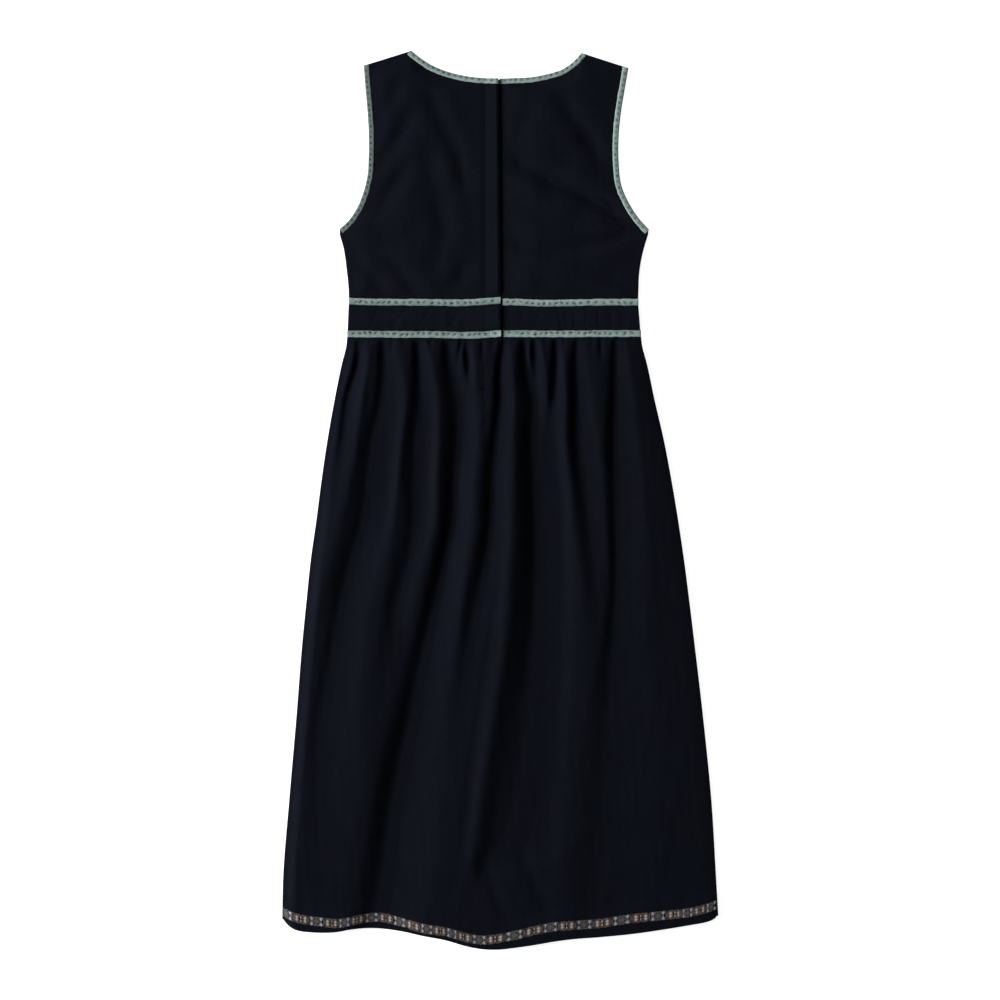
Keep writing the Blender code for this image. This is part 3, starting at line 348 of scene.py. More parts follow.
def smooth(knots, values, at):
    """The cubic curve through the values at the knots, read at the given places."""
    knots = np.asarray(knots, dtype=float)
    values = np.asarray(values, dtype=float)
    slopes = np.gradient(values, knots)
    at = np.clip(at, knots[0], knots[-1])
    i = np.clip(np.searchsorted(knots, at) - 1, 0, len(knots) - 2)
    span = knots[i + 1] - knots[i]
    t = (at - knots[i]) / span
    start = values[i] * (1 + 2 * t) * (1 - t) ** 2 + slopes[i] * span * t * (1 - t) ** 2
    end = values[i + 1] * t * t * (3 - 2 * t) - slopes[i + 1] * span * t * t * (1 - t)
    return start + end


def column(rows, i):
    return [row[i] for row in rows]


def curve(rows, i, at):
    """The smooth curve of the rows' value i over their first value."""
    return smooth(column(rows, 0), column(rows, i), at)


def joined(rows, i, at):
    """The same with straight stretches."""
    return np.interp(at, column(rows, 0), column(rows, i))


def ease(t):
    """A soft step from 0 to 1."""
    t = np.clip(t, 0.0, 1.0)
    return t * t * (3 - 2 * t)


def lengths_along(line):
    steps = np.linalg.norm(np.diff(line, axis=0), axis=1)
    return np.concatenate([[0.0], np.cumsum(steps)])


def points_at(places, s, line):
    """Points of a line at places along it, where s is how far along each of its points lies."""
    return np.stack([np.interp(places, s, values) for values in line.T], axis=-1)


def along(points, shares):
    """Points at the given shares of the length of a smooth line through points."""
    points = np.asarray(points, dtype=float)
    reach = lengths_along(points)
    at = np.asarray(shares) * reach[-1]
    return np.stack([smooth(reach, points[:, 0], at), smooth(reach, points[:, 1], at)], axis=-1)


def sideways(line):
    """Unit vectors that point to the right of a line."""
    steps = np.gradient(line, axis=0)
    steps /= np.hypot(*steps.T)[:, None]
    return np.stack([steps[:, 1], -steps[:, 0]], axis=-1)


def moved_out(line, distance):
    """A line moved to its right by a distance."""
    return line + sideways(line) * distance


def crease(x, y, depth, width, line):
    """Depth of a soft crease that runs along a line and fades at its ends."""
    line = np.asarray(line, dtype=float)
    runs = np.diff(line, axis=0)
    lengths = np.hypot(*runs.T)
    starts = lengths_along(line)
    nearest = np.full(np.shape(x), 1e9)
    place = np.zeros(np.shape(x))
    for k, (run, length) in enumerate(zip(runs, lengths)):
        run = run / length
        t = np.clip((x - line[k, 0]) * run[0] + (y - line[k, 1]) * run[1], 0, length)
        off = np.hypot(x - line[k, 0] - t * run[0], y - line[k, 1] - t * run[1])
        closer = off < nearest
        nearest = np.where(closer, off, nearest)
        place = np.where(closer, starts[k] + t, place)
    fade = np.sqrt(np.maximum(0.0, np.sin(np.pi * (0.08 + 0.84 * place / starts[-1]))))
    return depth * fade * np.exp(-(nearest / width) ** 2)


def creases(x, y, table):
    total = np.zeros(np.shape(x))
    for row in table:
        total += crease(x, y, *row)
    return total


def waves(at, seed, lengths, count=7):
    """A smooth irregular wave of about unit height, the same each time for one seed."""
    rng = np.random.default_rng(seed)
    total = np.zeros(np.shape(at))
    for length in np.geomspace(*lengths, count):
        total += np.sin(2 * np.pi * (at / (length * rng.uniform(0.85, 1.15)) + rng.uniform()))
    return total / math.sqrt(count)


def uneven(x, y, seed, lengths, count=16):
    """Smooth irregular height of about one unit, made of waves in many directions."""
    rng = np.random.default_rng(seed)
    total = np.zeros(np.shape(x))
    for length in np.geomspace(*lengths, count):
        angle, phase = rng.uniform(0, 2 * np.pi, 2)
        total += np.sin(2 * np.pi * (x * np.cos(angle) + y * np.sin(angle)) / length + phase)
    return total / math.sqrt(count / 2)


# ---- Shells ----


def grid_numbers(shape):
    return np.arange(shape[0] * shape[1]).reshape(shape)


def grid_quads(numbers, without=None):
    """Faces between neighbouring rows and columns, but for the gap after one column."""
    a, b = numbers[1:, :-1], numbers[1:, 1:]
    c, d = numbers[:-1, 1:], numbers[:-1, :-1]
    quads = np.stack([a, b, c, d], axis=-1)
    if without is not None:
        quads = np.delete(quads, without, axis=1)
    return quads.reshape(-1, 4)


def point_normals(points, quads):
    across = points[quads[:, 2]] - points[quads[:, 0]]
    over = points[quads[:, 3]] - points[quads[:, 1]]
    faces = np.cross(across, over)
    normals = np.zeros_like(points)
    for k in range(4):
        np.add.at(normals, quads[:, k], faces)
    return normals / np.maximum(np.linalg.norm(normals, axis=1), 1e-9)[:, None]


def rim_edges(quads):
    """Edges that only one face has, in that face's direction."""
    start = quads.ravel()
    end = np.roll(quads, -1, axis=1).ravel()
    span = quads.max() + 1
    lone = ~np.isin(start * span + end, end * span + start)
    return start[lone], end[lone]


def add_object(name, points, faces, looks):
    """A mesh object of the scene, from points in mm."""
    mesh = bpy.data.meshes.new(name)
    mesh.from_pydata((np.asarray(points, dtype=float) * MM).tolist(), [], faces)
    for look in looks:
        mesh.materials.append(look)
    made = bpy.data.objects.new(name, mesh)
    bpy.context.collection.objects.link(made)
    return made


def shell(name, outer, quads, wall, looks, facing=1, marks=None, face_looks=None):
    """A closed shell whose outer face is given: up for facing 1 and down for -1."""
    normals = point_normals(outer, quads)
    if normals[:, 2].sum() * facing < 0:
        quads = quads[:, ::-1]
        normals = -normals
    count = len(outer)
    inner = outer - normals * wall
    inner[:, 2] = np.maximum(inner[:, 2], 0.0)
    outer = np.column_stack([outer[:, :2], np.maximum(outer[:, 2], 0.0)])
    start, end = rim_edges(quads)
    sides = np.stack([end, start, start + count, end + count], axis=-1)
    faces = np.vstack([quads, quads[:, ::-1] + count, sides])
    made = add_object(name, np.vstack([outer, inner]), faces.tolist(), looks)
    mesh = made.data
    if face_looks is not None:
        index = np.zeros(len(faces), dtype=np.int32)
        index[:len(quads)] = face_looks
        mesh.polygons.foreach_set("material_index", index)
    for key, values in (marks or {}).items():
        values = np.asarray(values, dtype=float)
        kind, field = ("FLOAT_VECTOR", "vector") if values.ndim == 2 else ("FLOAT", "value")
        layer = mesh.attributes.new(key, kind, "POINT")
        layer.data.foreach_set(field, np.concatenate([values, values]).ravel())
    mesh.shade_smooth()
    mesh.set_sharp_from_angle(angle=SHARP_EDGE)
    return made


def thread_lengths(grid):
    """Lengths along the middle row and the middle column of a grid, for the weave."""
    rows, columns = grid.shape[:2]
    u = lengths_along(grid[rows // 2])
    v = lengths_along(grid[:, columns // 2])
    u, v = np.broadcast_arrays(u[None], v[:, None])
    return np.stack([u, v, 0.0 * u], axis=-1).reshape(-1, 3)


def cloth(name, grid, wall, look, facing=1, **marks):
    """A shell from one regular grid, with its thread lengths and other marks of its points."""
    marks = {key: values.ravel() for key, values in marks.items()}
    marks["threads"] = thread_lengths(grid)
    quads = grid_quads(grid_numbers(grid.shape[:2]))
    return shell(name, grid.reshape(-1, 3), quads, wall, [look], facing, marks)


ROLL_STEPS = np.radians([25, 50, 72, 90])


def rolled(edge, away, radius, floor):
    """Lines of points that turn an edge over to its left (-1) or right (1) and down to a floor."""
    lines = []
    for angle in ROLL_STEPS:
        line = edge.copy()
        line[:, 0] += away * radius * np.sin(angle)
        line[:, 2] -= radius * (1 - np.cos(angle))
        lines.append(line)
    last = lines[-1].copy()
    last[:, 2] = np.minimum(floor, last[:, 2] - 0.2)
    return lines + [last]


def with_rolled_sides(grid, sides, radius, floor=SEAM_FLOOR):
    """A grid with its left or right side turned over, or both."""
    parts = [grid]
    if "left" in sides:
        parts.insert(0, np.stack(rolled(grid[:, 0], -1, radius, floor)[::-1], axis=1))
    if "right" in sides:
        parts.append(np.stack(rolled(grid[:, -1], 1, radius, floor), axis=1))
    return np.concatenate(parts, axis=1)


# ---- Materials ----


class Look:
    """A material with one Principled shader and short calls for its nodes."""

    def __init__(self, name, **sockets):
        self.material = bpy.data.materials.new(name)
        self.material.use_nodes = True
        self.tree = self.material.node_tree
        self.shader = self.tree.nodes["Principled BSDF"]
        for key, value in sockets.items():
            self.shader.inputs[key.replace("_", " ")].default_value = value

    def plug(self, value, socket):
        if isinstance(value, bpy.types.NodeSocket):
            self.tree.links.new(value, socket)
        else:
            socket.default_value = value

    def node(self, kind, inputs=(), **settings):
        made = self.tree.nodes.new("ShaderNode" + kind)
        for key, value in settings.items():
            setattr(made, key, value)
        for key, value in dict(inputs).items():
            self.plug(value, made.inputs[key])
        return made

    def math(self, operation, a, b=0.0, c=0.0):
        return self.node("Math", {0: a, 1: b, 2: c}, operation=operation).outputs[0]

    def noise(self, vector, scale, detail=3.0, roughness=0.5):
        inputs = {"Vector": vector, "Scale": scale, "Detail": detail, "Roughness": roughness}
        return self.node("TexNoise", inputs).outputs["Fac"]

    def spread(self, value, to_low, to_high, low=0.3, high=0.7):
        """A value from low to high, which is how far a noise reaches, brought to another span."""
        inputs = {"Value": value, "From Min": low, "From Max": high, "To Min": to_low,
                  "To Max": to_high}
        return self.node("MapRange", inputs).outputs["Result"]

    def mix(self, share, a, b, blend="MIX"):
        made = self.node("Mix", {0: share}, data_type="RGBA", blend_type=blend)
        for value, socket in ((a, made.inputs[6]), (b, made.inputs[7])):
            self.plug((*value, 1.0) if isinstance(value, tuple) else value, socket)
        return made.outputs[2]

    def object_place(self):
        return self.node("TexCoord").outputs["Object"]

    def threads(self):
        return self.node("Attribute", attribute_name="threads").outputs["Vector"]

    def mark(self, name):
        return self.node("Attribute", attribute_name=name).outputs["Fac"]

    def stretched(self, vector, x, y):
        return self.node("Mapping", {"Vector": vector, "Scale": (x, y, 1.0)}).outputs["Vector"]

    def colour(self, socket):
        self.plug(socket, self.shader.inputs["Base Color"])

    def tinted(self, colour, grain, *grains):
        """The base colour, made lighter and darker by the product of some grains."""
        for more in grains:
            grain = self.math("MULTIPLY", grain, more)
        grey = self.node("CombineColor", {0: grain, 1: grain, 2: grain}).outputs[0]
        self.colour(self.mix(1.0, colour, grey, "MULTIPLY"))

    def roughness(self, socket):
        self.plug(socket, self.shader.inputs["Roughness"])

    def bump(self, height, distance_mm, strength=0.8):
        inputs = {"Height": height, "Distance": distance_mm * MM, "Strength": strength}
        self.plug(self.node("Bump", inputs).outputs["Normal"], self.shader.inputs["Normal"])


def plain_weave(look, vector, pitch):
    """Height of a plain weave with threads a pitch apart, from 0 to 1."""
    axes = look.node("SeparateXYZ", {0: vector}).outputs
    turn = 2 * math.pi / pitch
    across, down = [look.math("SINE", look.math("MULTIPLY", axes[k], turn)) for k in (0, 1)]
    return look.math("MULTIPLY_ADD", look.math("MULTIPLY", across, down), 0.5, 0.5)


def navy_look():
    """Wool; its painted shading mark, 0 to 1, is 1 on the skirt, which is painted a little darker
    there as painted shade; the other pieces come out a little lighter.
    """
    look = Look("navy_cloth_look", Roughness=0.85, Specular_IOR_Level=0.03, Sheen_Weight=0.01,
                Sheen_Roughness=0.45, Sheen_Tint=(0.55, 0.65, 1.0, 1.0))
    threads = look.threads()
    weave = plain_weave(look, threads, 0.9)
    slub = look.noise(look.stretched(threads, 0.25, 2.2), 1.0, 2.0)
    fibres = look.noise(look.stretched(threads, 1.6, 1.6), 1.0, 4.0, 0.7)
    fleck = look.noise(look.stretched(threads, 0.30, 0.30), 1.0, 3.0, 0.65)
    cloud = look.noise(look.object_place(), 26.0, 3.0, 0.55)
    hue = look.noise(look.object_place(), 11.0, 2.0)
    tone = look.mix(look.spread(hue, 0.0, 1.0, 0.35, 0.65), (0.0068, 0.0085, 0.0148),
                    (0.0075, 0.0084, 0.0145))
    # the last grain is painted shade: darker where the shading mark is 1, lighter where it is 0
    look.tinted(tone, look.spread(slub, 0.86, 1.14), look.spread(cloud, 0.95, 1.05),
                look.spread(weave, 0.90, 1.10, 0.0, 1.0), look.spread(fleck, 0.86, 1.14),
                look.spread(look.mark("nap"), 1.04, 0.93, 0.0, 1.0))
    look.roughness(look.spread(fibres, 0.78, 0.92))
    look.bump(look.math("MULTIPLY_ADD", fibres, 0.6, weave), 0.10)
    return look.material


def sage_look(name, tone=1.0):
    """Velvet; tone scales this copy's brightness as a whole, which is painted light and shade."""
    look = Look(name, Roughness=0.8, Specular_IOR_Level=0.15, Sheen_Weight=0.08,
                Sheen_Roughness=0.35, Sheen_Tint=(0.85, 1.0, 0.95, 1.0))
    threads = look.threads()
    pile = look.noise(look.stretched(threads, 2.2, 2.2), 1.0, 4.0, 0.65)
    streak = look.noise(look.stretched(threads, 0.16, 0.7), 1.0)
    ribs = plain_weave(look, threads, 1.1)
    colour = look.mix(look.spread(streak, 0.0, 1.0), (0.200, 0.278, 0.256), (0.300, 0.392, 0.364))
    # painted light and shade: tone scales the whole copy, the pucker mark paints the pucker dents
    # almost black, and the shading mark paints parts of the section lighter
    look.tinted(colour, look.spread(pile, 0.88 * tone, 1.12 * tone),
                look.spread(ribs, 0.95, 1.05, 0.0, 1.0),
                look.spread(look.mark("pucker"), 1.0, 0.02, 0.0, 1.0),
                look.spread(look.mark("nap"), 0.94, 1.34, 0.0, 1.0))
    look.roughness(look.spread(pile, 0.72, 0.88))
    look.bump(look.math("MULTIPLY_ADD", ribs, 0.3, pile), 0.12)
    return look.material


def woven_look(name, colour, shine=0.2):
    """Smooth threads of the ribbon and the seams: fine ribs, with uneven colour."""
    look = Look(name, Roughness=0.6, Specular_IOR_Level=shine, Sheen_Weight=0.05)
    threads = look.threads()
    ribs = plain_weave(look, threads, 0.6)
    fibres = look.noise(look.stretched(threads, 2.5, 1.2), 1.0, 3.0, 0.6)
    look.tinted(colour, look.spread(fibres, 0.8, 1.2), look.spread(ribs, 0.85, 1.1, 0.0, 1.0))
    look.roughness(look.spread(fibres, 0.5, 0.75))
    look.bump(look.math("MULTIPLY_ADD", fibres, 0.5, ribs), 0.08)
    return look.material


def floor_look():
    look = Look("floor_look", Roughness=0.9, Specular_IOR_Level=0.1, Emission_Strength=0.92,
                Emission_Color=(1.0, 1.0, 1.0, 1.0))
    cloud = look.noise(look.object_place(), 3.0, 2.0)
    look.colour(look.mix(look.spread(cloud, 0.0, 1.0), (0.90, 0.90, 0.90), (0.92, 0.92, 0.92)))
    return look.material


# ---- The waist line ----


def trim_middle(side, which, x):
    """y of the middle of the upper (1) or lower (2) waist trim."""
    return curve(WAIST[side], which, x)


def lap_edge(y):
    """x of the free edge of the lap, which leans to the right toward the waist."""
    (x_neck, y_neck), (x_waist, y_waist) = LAP_EDGE
    return x_neck + (y_neck - y) / (y_neck - y_waist) * (x_waist - x_neck)


def inner_edge(side, y):
    """x of a back panel's edge at the centre: the lap's free edge, or the one it covers."""
    return lap_edge(y) if side == "left" else 0.0 * y - LAP + GAP


def lap_fold(x, y):
    """Rise of the folded strip between its stitched line and the lap's edge."""
    share = (x + LAP) / (lap_edge(y) + LAP)
    rise = (STITCH_DIP + LAP_FOLD) * np.clip((share - 0.04) / 0.78, 0, 1)
    return rise - LAP_ROLL * ease((share - 0.84) / 0.16)


def lap_height(x):
    """How far the left side is lifted where it lies on the right side."""
    return LAP_RISE * ease((x + LAP + LAP_SLOPE) / LAP_SLOPE)


# ---- Skirt ----


def skirt_side(which, down):
    """x of the left (1) or right (2) side seam."""
    return curve(SKIRT_SIDE, which, down)


def seam_y(x):
    """y of the waist seam of the skirt."""
    return trim_middle("front", 2, x)


def hem_y(x, which=1):
    """y of the hem (1) or of the upper edge of the ribbon (2)."""
    return curve(HEM, which, x)


def track(rows, x, down):
    """Strength of a valley or crest at distances down, how far off it x is in left and in right
    half widths, and the right half width."""
    inside = (down >= rows[0][0] - RUN_IN) & (down <= rows[-1][0])
    strength, left, right = [joined(rows, i, down) for i in (2, 3, 4)]
    off = x - curve(rows, 1, down)
    return strength * inside, off / left, off / right, right


def valley_section(to_left, to_right, right):
    """Depth across a valley: a steep left side, then at its right a short steep lip and a rise two
    half widths long, which starts flat and grows steeper."""
    left_to_go = 1 - np.maximum(to_right, 0.0) / 2
    left_to_go = left_to_go + np.sqrt(left_to_go ** 2 + VALLEY_BEND)
    rise = 1 - (1 - left_to_go / (1 + math.sqrt(1 + VALLEY_BEND))) ** VALLEY_RISE
    lip = np.exp(-(to_left / VALLEY_LIP_WIDTH) ** 2)
    share = np.clip(to_right / 2, 0.0, 1.0)
    sag = VALLEY_SAG * SAG_PEAK * share * (1 - share) ** 2
    low = VALLEY_LIP * np.minimum(1.0, LIP_REACH / right)
    depth = np.minimum(low * lip + (1 - low) * rise + sag, 1.0)
    return np.where(to_left < 0, np.exp(-to_left ** 2), depth)


def valley_share(x, down):
    """Share of the height that is left once every valley and gather is pressed in."""
    kept = np.ones(np.shape(x))
    for rows in VALLEYS.values():
        depth, to_left, to_right, right = track(rows, x, down)
        kept *= 1 - depth * valley_section(to_left, to_right, right)
    for start, drift, depth, width, reach in GATHERS:
        share = np.clip(down / reach, 0, 1)
        kept *= 1 - depth * (1 - ease(share)) * np.exp(-((x - start - drift * share) / width) ** 2)
    return kept


def crest_height(x, down):
    total = np.zeros(np.shape(x))
    for rows in CRESTS.values():
        height, to_left, to_right, _ = track(rows, x, down)
        total += height * np.exp(-np.where(to_left < 0, to_left, to_right) ** 2)
    return total


def side_ease(x, down):
    """0 at the side seams, 1 away from them; at the right seam the cloth turns over at once."""
    right = np.clip((skirt_side(2, down) - x) / EDGE_EASE[1], 0, 1)
    return ease((x - skirt_side(1, down)) / EDGE_EASE[0]) * np.sqrt(right * (2 - right))


def skirt_height(x, down):
    """Height of the back skirt over the layer it rests on."""
    crown = curve(CROWN, 1, x) + crest_height(x, down)
    return joined(RISE, 1, down) * side_ease(x, down) * crown * valley_share(x, down)


def rumples(x, y):
    """Fine unevenness of the cloth, drawn out along the folds."""
    return RUMPLE * uneven(x, 0.3 * y, 5, (9, 45))


def ribbon_rise(x, y):
    """The hem region is lifted by the ribbon under the front."""
    return RIBBON_RISE * (1 - ease((y - hem_y(x, 2) - 5.5) / 6.5))


def skirt_top(x, y, lap=0.0):
    """Outer face of the back skirt."""
    down = seam_y(x) - y
    lift = lap * SKIRT_LAP_SHARE * lap_height(x) * (1 - ease(down / PLACKET))
    height = skirt_height(x, down)
    fine = np.minimum(height / 2.0, 1.0) * (rumples(x, y) - creases(x, y, HEM_CREASES))
    return BACK_BASE + CLOTH + ribbon_rise(x, y) + np.maximum(height + fine, 0.0) + lift


def skirt_x(share, down, inset=0.0):
    """x of a column that runs down beside the placket's fold; share is -1 at the left seam, 0 at
    the placket and 1 at the right seam."""
    middle = curve(MIDDLE_LINE, 1, down)
    left = skirt_side(1, down) + inset
    right = skirt_side(2, down) - inset
    return np.where(share < 0, middle + share * (middle - left), middle + share * (right - middle))


MIDDLE_LINE = [(0, 2.6), (6, 2), (74, -5), (165, -16), (255, -21), (345, -39), (435, -52),
    (525, -60), (615, -66), (690, -70)]


def skirt_rows(count):
    """Shares of the way from the waist seam to the hem, close together near the waist."""
    top = np.arange(0.0, SKIRT_TOP, SKIRT_TOP_STEP)
    rest = np.linspace(SKIRT_TOP, SKIRT_LONG, count - len(top))
    return np.concatenate([top, rest]) / SKIRT_LONG


def skirt_grid(shares, rows, inset, start=0.0):
    """Plan points of the skirt. The columns drift, so the hem is found by going there."""
    down = np.full(len(shares), 680.0)
    for _ in range(8):
        x = skirt_x(shares, down, inset)
        down = seam_y(x) - hem_y(x)
    down = start + rows[:, None] * (down[None] - start)
    x = skirt_x(shares[None], down, inset)
    return x, seam_y(x) - down, down


def back_skirt(look):
    left = np.linspace(-1, 0, SKIRT_COLUMNS[0])
    right = np.linspace(0, 1, SKIRT_COLUMNS[1])
    x, y, down = skirt_grid(np.concatenate([left, right]), skirt_rows(SKIRT_ROWS), SEAM_ROLL)
    cut = len(left) - 1
    open_rows = down[:, cut] < PLACKET
    lap = np.zeros(x.shape)
    lap[open_rows, :cut + 1] = 1.0
    apart = SLIT_HALF * ease((down[open_rows, cut] - SLIT_OPENS[0]) / SLIT_OPENS[1])
    x[open_rows, cut] -= apart
    x[open_rows, cut + 1] += apart
    grid = np.stack([x, y, skirt_top(x, y, lap)], axis=-1)
    grid = with_rolled_sides(grid, ("left", "right"), SEAM_ROLL)
    cut += len(ROLL_STEPS) + 1
    numbers = grid_numbers(grid.shape[:2])
    numbers[~open_rows, cut + 1] = numbers[~open_rows, cut]
    quads = grid_quads(numbers, cut)
    used = np.unique(quads)
    renumber = np.zeros(numbers.size, dtype=int)
    renumber[used] = np.arange(len(used))
    # shading mark 1: the back skirt is painted a little darker, as painted shade
    return shell("skirt_back_cloth", grid.reshape(-1, 3)[used], renumber[quads], SHELL, [look],
                 marks={"threads": thread_lengths(grid)[used], "nap": np.ones(len(used))})


FRONT_SHARE = [(0, 0), (8, 0), (20, 0.11), (57, 0.26), (165, 0.36), (345, 0.36), (525, 0.3),
    (615, 0.12), (645, 0), (700, 0)]  # distance down, share of the back's height
FRONT_CROWN = 11.0


def front_skirt(look):
    """The front rests on the surface; between its gathers it is drawn up a little."""
    left, right = FRONT_COLUMNS
    shares = np.concatenate([np.linspace(-1, 0, left)[:-1], np.linspace(0, 1, right)])
    x, y, down = skirt_grid(shares, skirt_rows(FRONT_ROWS), FRONT_INSET, TRIM_HALF + GAP)
    share = joined(FRONT_SHARE, 1, down)
    height = np.minimum(skirt_height(-x * 0.97 - 6.0, down), FRONT_CROWN)
    z = share * height ** 2 / FRONT_CROWN * side_ease(x, down) ** 2
    z = np.minimum(z, 0.8 * skirt_height(x, down))
    z = np.where(y < hem_y(x, 2) + 1.0, RIBBON_RISE, z)
    # shading mark 1: the front skirt is painted a little darker too, as painted shade
    return cloth("skirt_front_cloth", np.stack([x, y, z], axis=-1), SHELL, look, -1,
                 nap=np.ones(x.shape))


# ---- Ribbon ----


def chart_colour(figure, across):
    """Number of the chart's colour at a place along the repeat (0 to 1) and across the ribbon
    (0 in its middle, 1 at its edges)."""
    half = 1 - abs(1 - 2 * figure)
    col = np.minimum((half * len(CHART[0])).astype(int), len(CHART[0]) - 1)
    row = np.minimum((across * len(CHART)).astype(int), len(CHART) - 1)
    cells = np.array([[CHART_COLOURS.find(c) + 1 for c in line] for line in CHART])
    return cells[row, col]


RIBBON_STEP = 0.62
RIBBON_ENDS = (655.0, 645.0)    # distance down at its left and its right end
RIBBON_CELLS = 17


def hem_ribbon(name, height, inset, looks, facing):
    """The ribbon, one grid cell for each cell of its chart."""
    x = np.arange(skirt_side(1, RIBBON_ENDS[0]) + inset, skirt_side(2, RIBBON_ENDS[1]) - inset,
                  RIBBON_STEP)
    rows = np.linspace(0, 1, RIBBON_CELLS + 1)
    y = hem_y(x, 2)[None] - rows[:, None] * RIBBON
    x_grid = np.broadcast_to(x, y.shape)
    figure = np.interp((x[1:] + x[:-1]) / 2, ROSES_X, np.arange(len(ROSES_X))) % 1.0
    across = abs(rows[1:] + rows[:-1] - 1)
    colours = chart_colour(*np.broadcast_arrays(figure[None], across[:, None]))
    raised = np.zeros(y.shape)
    for rows_at in (slice(0, -1), slice(1, None)):
        for columns_at in (slice(0, -1), slice(1, None)):
            raised[rows_at, columns_at] += (colours > 0) / 4
    z = height(x_grid, y) + facing * RAISED * raised
    grid = np.stack([x_grid, y, z], axis=-1)
    return shell(name, grid.reshape(-1, 3), grid_quads(grid_numbers(y.shape)), RIBBON_WALL,
                 looks, facing, {"threads": thread_lengths(grid)}, colours.ravel())


# ---- Bodice ----


def coons(top, bottom, left, right):
    """Grid of points inside four edges that share their corners."""
    u = np.linspace(0, 1, len(top))[None, :, None]
    t = np.linspace(0, 1, len(left))[:, None, None]
    rows = (1 - t) * top[None] + t * bottom[None]
    columns = (1 - u) * left[:, None] + u * right[:, None]
    corners = ((1 - t) * ((1 - u) * top[0] + u * top[-1])
               + t * ((1 - u) * bottom[0] + u * bottom[-1]))
    return rows + columns - corners


ARM_ROWS = 78
ARM_ROLL = 0.25         # radius of the panel's edge under the armhole binding
SIDE_ROWS = 32
SHOULDER_COLUMNS = 16
NECK_COLUMNS = 84
LAP_COLUMNS = 34
LAP_FINE = 5.0          # these start this far to the left of the lap's stitched line
FRONT_NECK_COLUMNS = 100


def outer_edge(side, arm_inset, side_inset):
    """Armhole and side seam of a panel as one line, shoulder to waist."""
    away = 1.0 if side == "left" else -1.0
    arm = moved_out(along(ARMHOLE[side], np.linspace(0, 1, ARM_ROWS)), -arm_inset * away)
    seam = along(SIDE[side], np.linspace(0, 1, SIDE_ROWS))
    seam[:, 0] += side_inset * away
    seam[:, 1] = np.minimum(seam[:, 1], arm[-1, 1] - 0.8 - 0.3 * np.arange(SIDE_ROWS))
    return np.vstack([arm, seam])


def neck_piece(x):
    """Neck edge of the back at places across, moved in under its binding."""
    whole = moved_out(along(NECK, np.linspace(0, 1, 160)), EDGE_INSET)
    return np.stack([x, np.interp(x, whole[:, 0], whole[:, 1])], axis=-1)


def panel_columns(x_outer, x_inner, count):
    """Places across a back panel, closer together beside the lap's stitched line."""
    middle = -LAP - LAP_FINE
    if x_inner < middle + 1.0 or x_outer > middle:
        return np.linspace(x_outer, x_inner, count)
    return np.concatenate([np.linspace(x_outer, middle, count - LAP_COLUMNS)[:-1],
                           np.linspace(middle, x_inner, LAP_COLUMNS + 1)])


def edge_distance(plan):
    """Distance of each grid point from the left, right, top and bottom edge, along the grid."""
    across, over = [np.linalg.norm(np.diff(plan, axis=axis), axis=-1) for axis in (1, 0)]
    from_left = np.pad(np.cumsum(across, axis=1), ((0, 0), (1, 0)))
    from_top = np.pad(np.cumsum(over, axis=0), ((1, 0), (0, 0)))
    return from_left, from_left[:, -1:] - from_left, from_top, from_top[-1:] - from_top


def back_panel_plan(side):
    """Plan points of one back panel, its columns running from left to right."""
    corner, sign = (NECK[0], -1.0) if side == "left" else (NECK[-1], 1.0)
    neck_tip = np.array(corner) + (sign * NECK_TIP_INSET[0], NECK_TIP_INSET[1])
    outer = outer_edge(side, EDGE_INSET, SEAM_ROLL)
    shares = np.linspace(0, 1, SHOULDER_COLUMNS + 1)[:-1, None]
    shoulder = outer[0] + (neck_tip - outer[0]) * shares
    neck = neck_piece(panel_columns(neck_tip[0], inner_edge(side, LAP_EDGE[0][1]), NECK_COLUMNS))
    neck[0] = neck_tip
    top = np.vstack([shoulder, neck])
    x_waist = panel_columns(outer[-1][0], inner_edge(side, trim_middle(side, 1, 0.0)), len(top))
    bottom = np.stack([x_waist, trim_middle(side, 1, x_waist) + GAP / 2], axis=-1)
    outer[-1] = bottom[0]
    y_inner = np.linspace(top[-1][1], bottom[-1][1], len(outer))
    inner = np.stack([inner_edge(side, y_inner), y_inner], axis=-1)
    inner[0], inner[-1] = top[-1], bottom[-1]
    plan = coons(top, bottom, outer, inner)
    return plan if side == "left" else plan[:, ::-1]


def bodice_top(plan, side):
    """Height of the outer face of a back panel."""
    x, y = plan[..., 0], plan[..., 1]
    from_left, from_right, from_top, from_bottom = edge_distance(plan)
    from_centre = -LAP - 4.0 - x if side == "left" else x - lap_edge(y)
    from_outer = from_left if side == "left" else from_right
    near = np.minimum(np.minimum(OUTER_EASE[side] * from_outer,
                                 CENTRE_EASE * np.maximum(from_centre, 0.0)),
                      np.minimum(from_top, from_bottom))
    share = ease(near / PUFF_REACH)
    fold = np.minimum(share * 2.0, 1.0)
    drape = fold * DRAPE_SCALE[side]
    z = BACK_BASE + CLOTH + share * PUFF - drape * creases(x, y, DRAPES)
    arm = ARM_CREASE_SCALE * ease(np.minimum(from_outer, from_top) / ARM_CREASE_EASE)
    z = z - arm * creases(x, y, ARM_CREASES)
    z = z + share * LUMPS[0] * uneven(x, y, 3, LUMPS[1])
    z = z + fold * WRINKLES[0] * uneven(x, y, 7, WRINKLES[1])
    if side == "left":
        z = z + lap_height(x) - STITCH_DIP * ease((x + LAP + 5.5) / 6.0)
        z = z + lap_fold(x, y) * ease((from_bottom - TRIM_HALF) / 8.0)
    return z


def back_bodice(side, look):
    plan = back_panel_plan(side)
    z = bodice_top(plan, side)
    grid = np.concatenate([plan, z[..., None]], axis=-1)
    arm = np.arange(len(grid)) < ARM_ROWS
    grid = with_rolled_sides(grid, side, np.where(arm, ARM_ROLL, SEAM_ROLL),
                             np.where(arm, BACK_BASE + GAP, SEAM_FLOOR))
    return cloth("bodice_back_" + side + "_cloth", grid, SHELL, look), plan, z


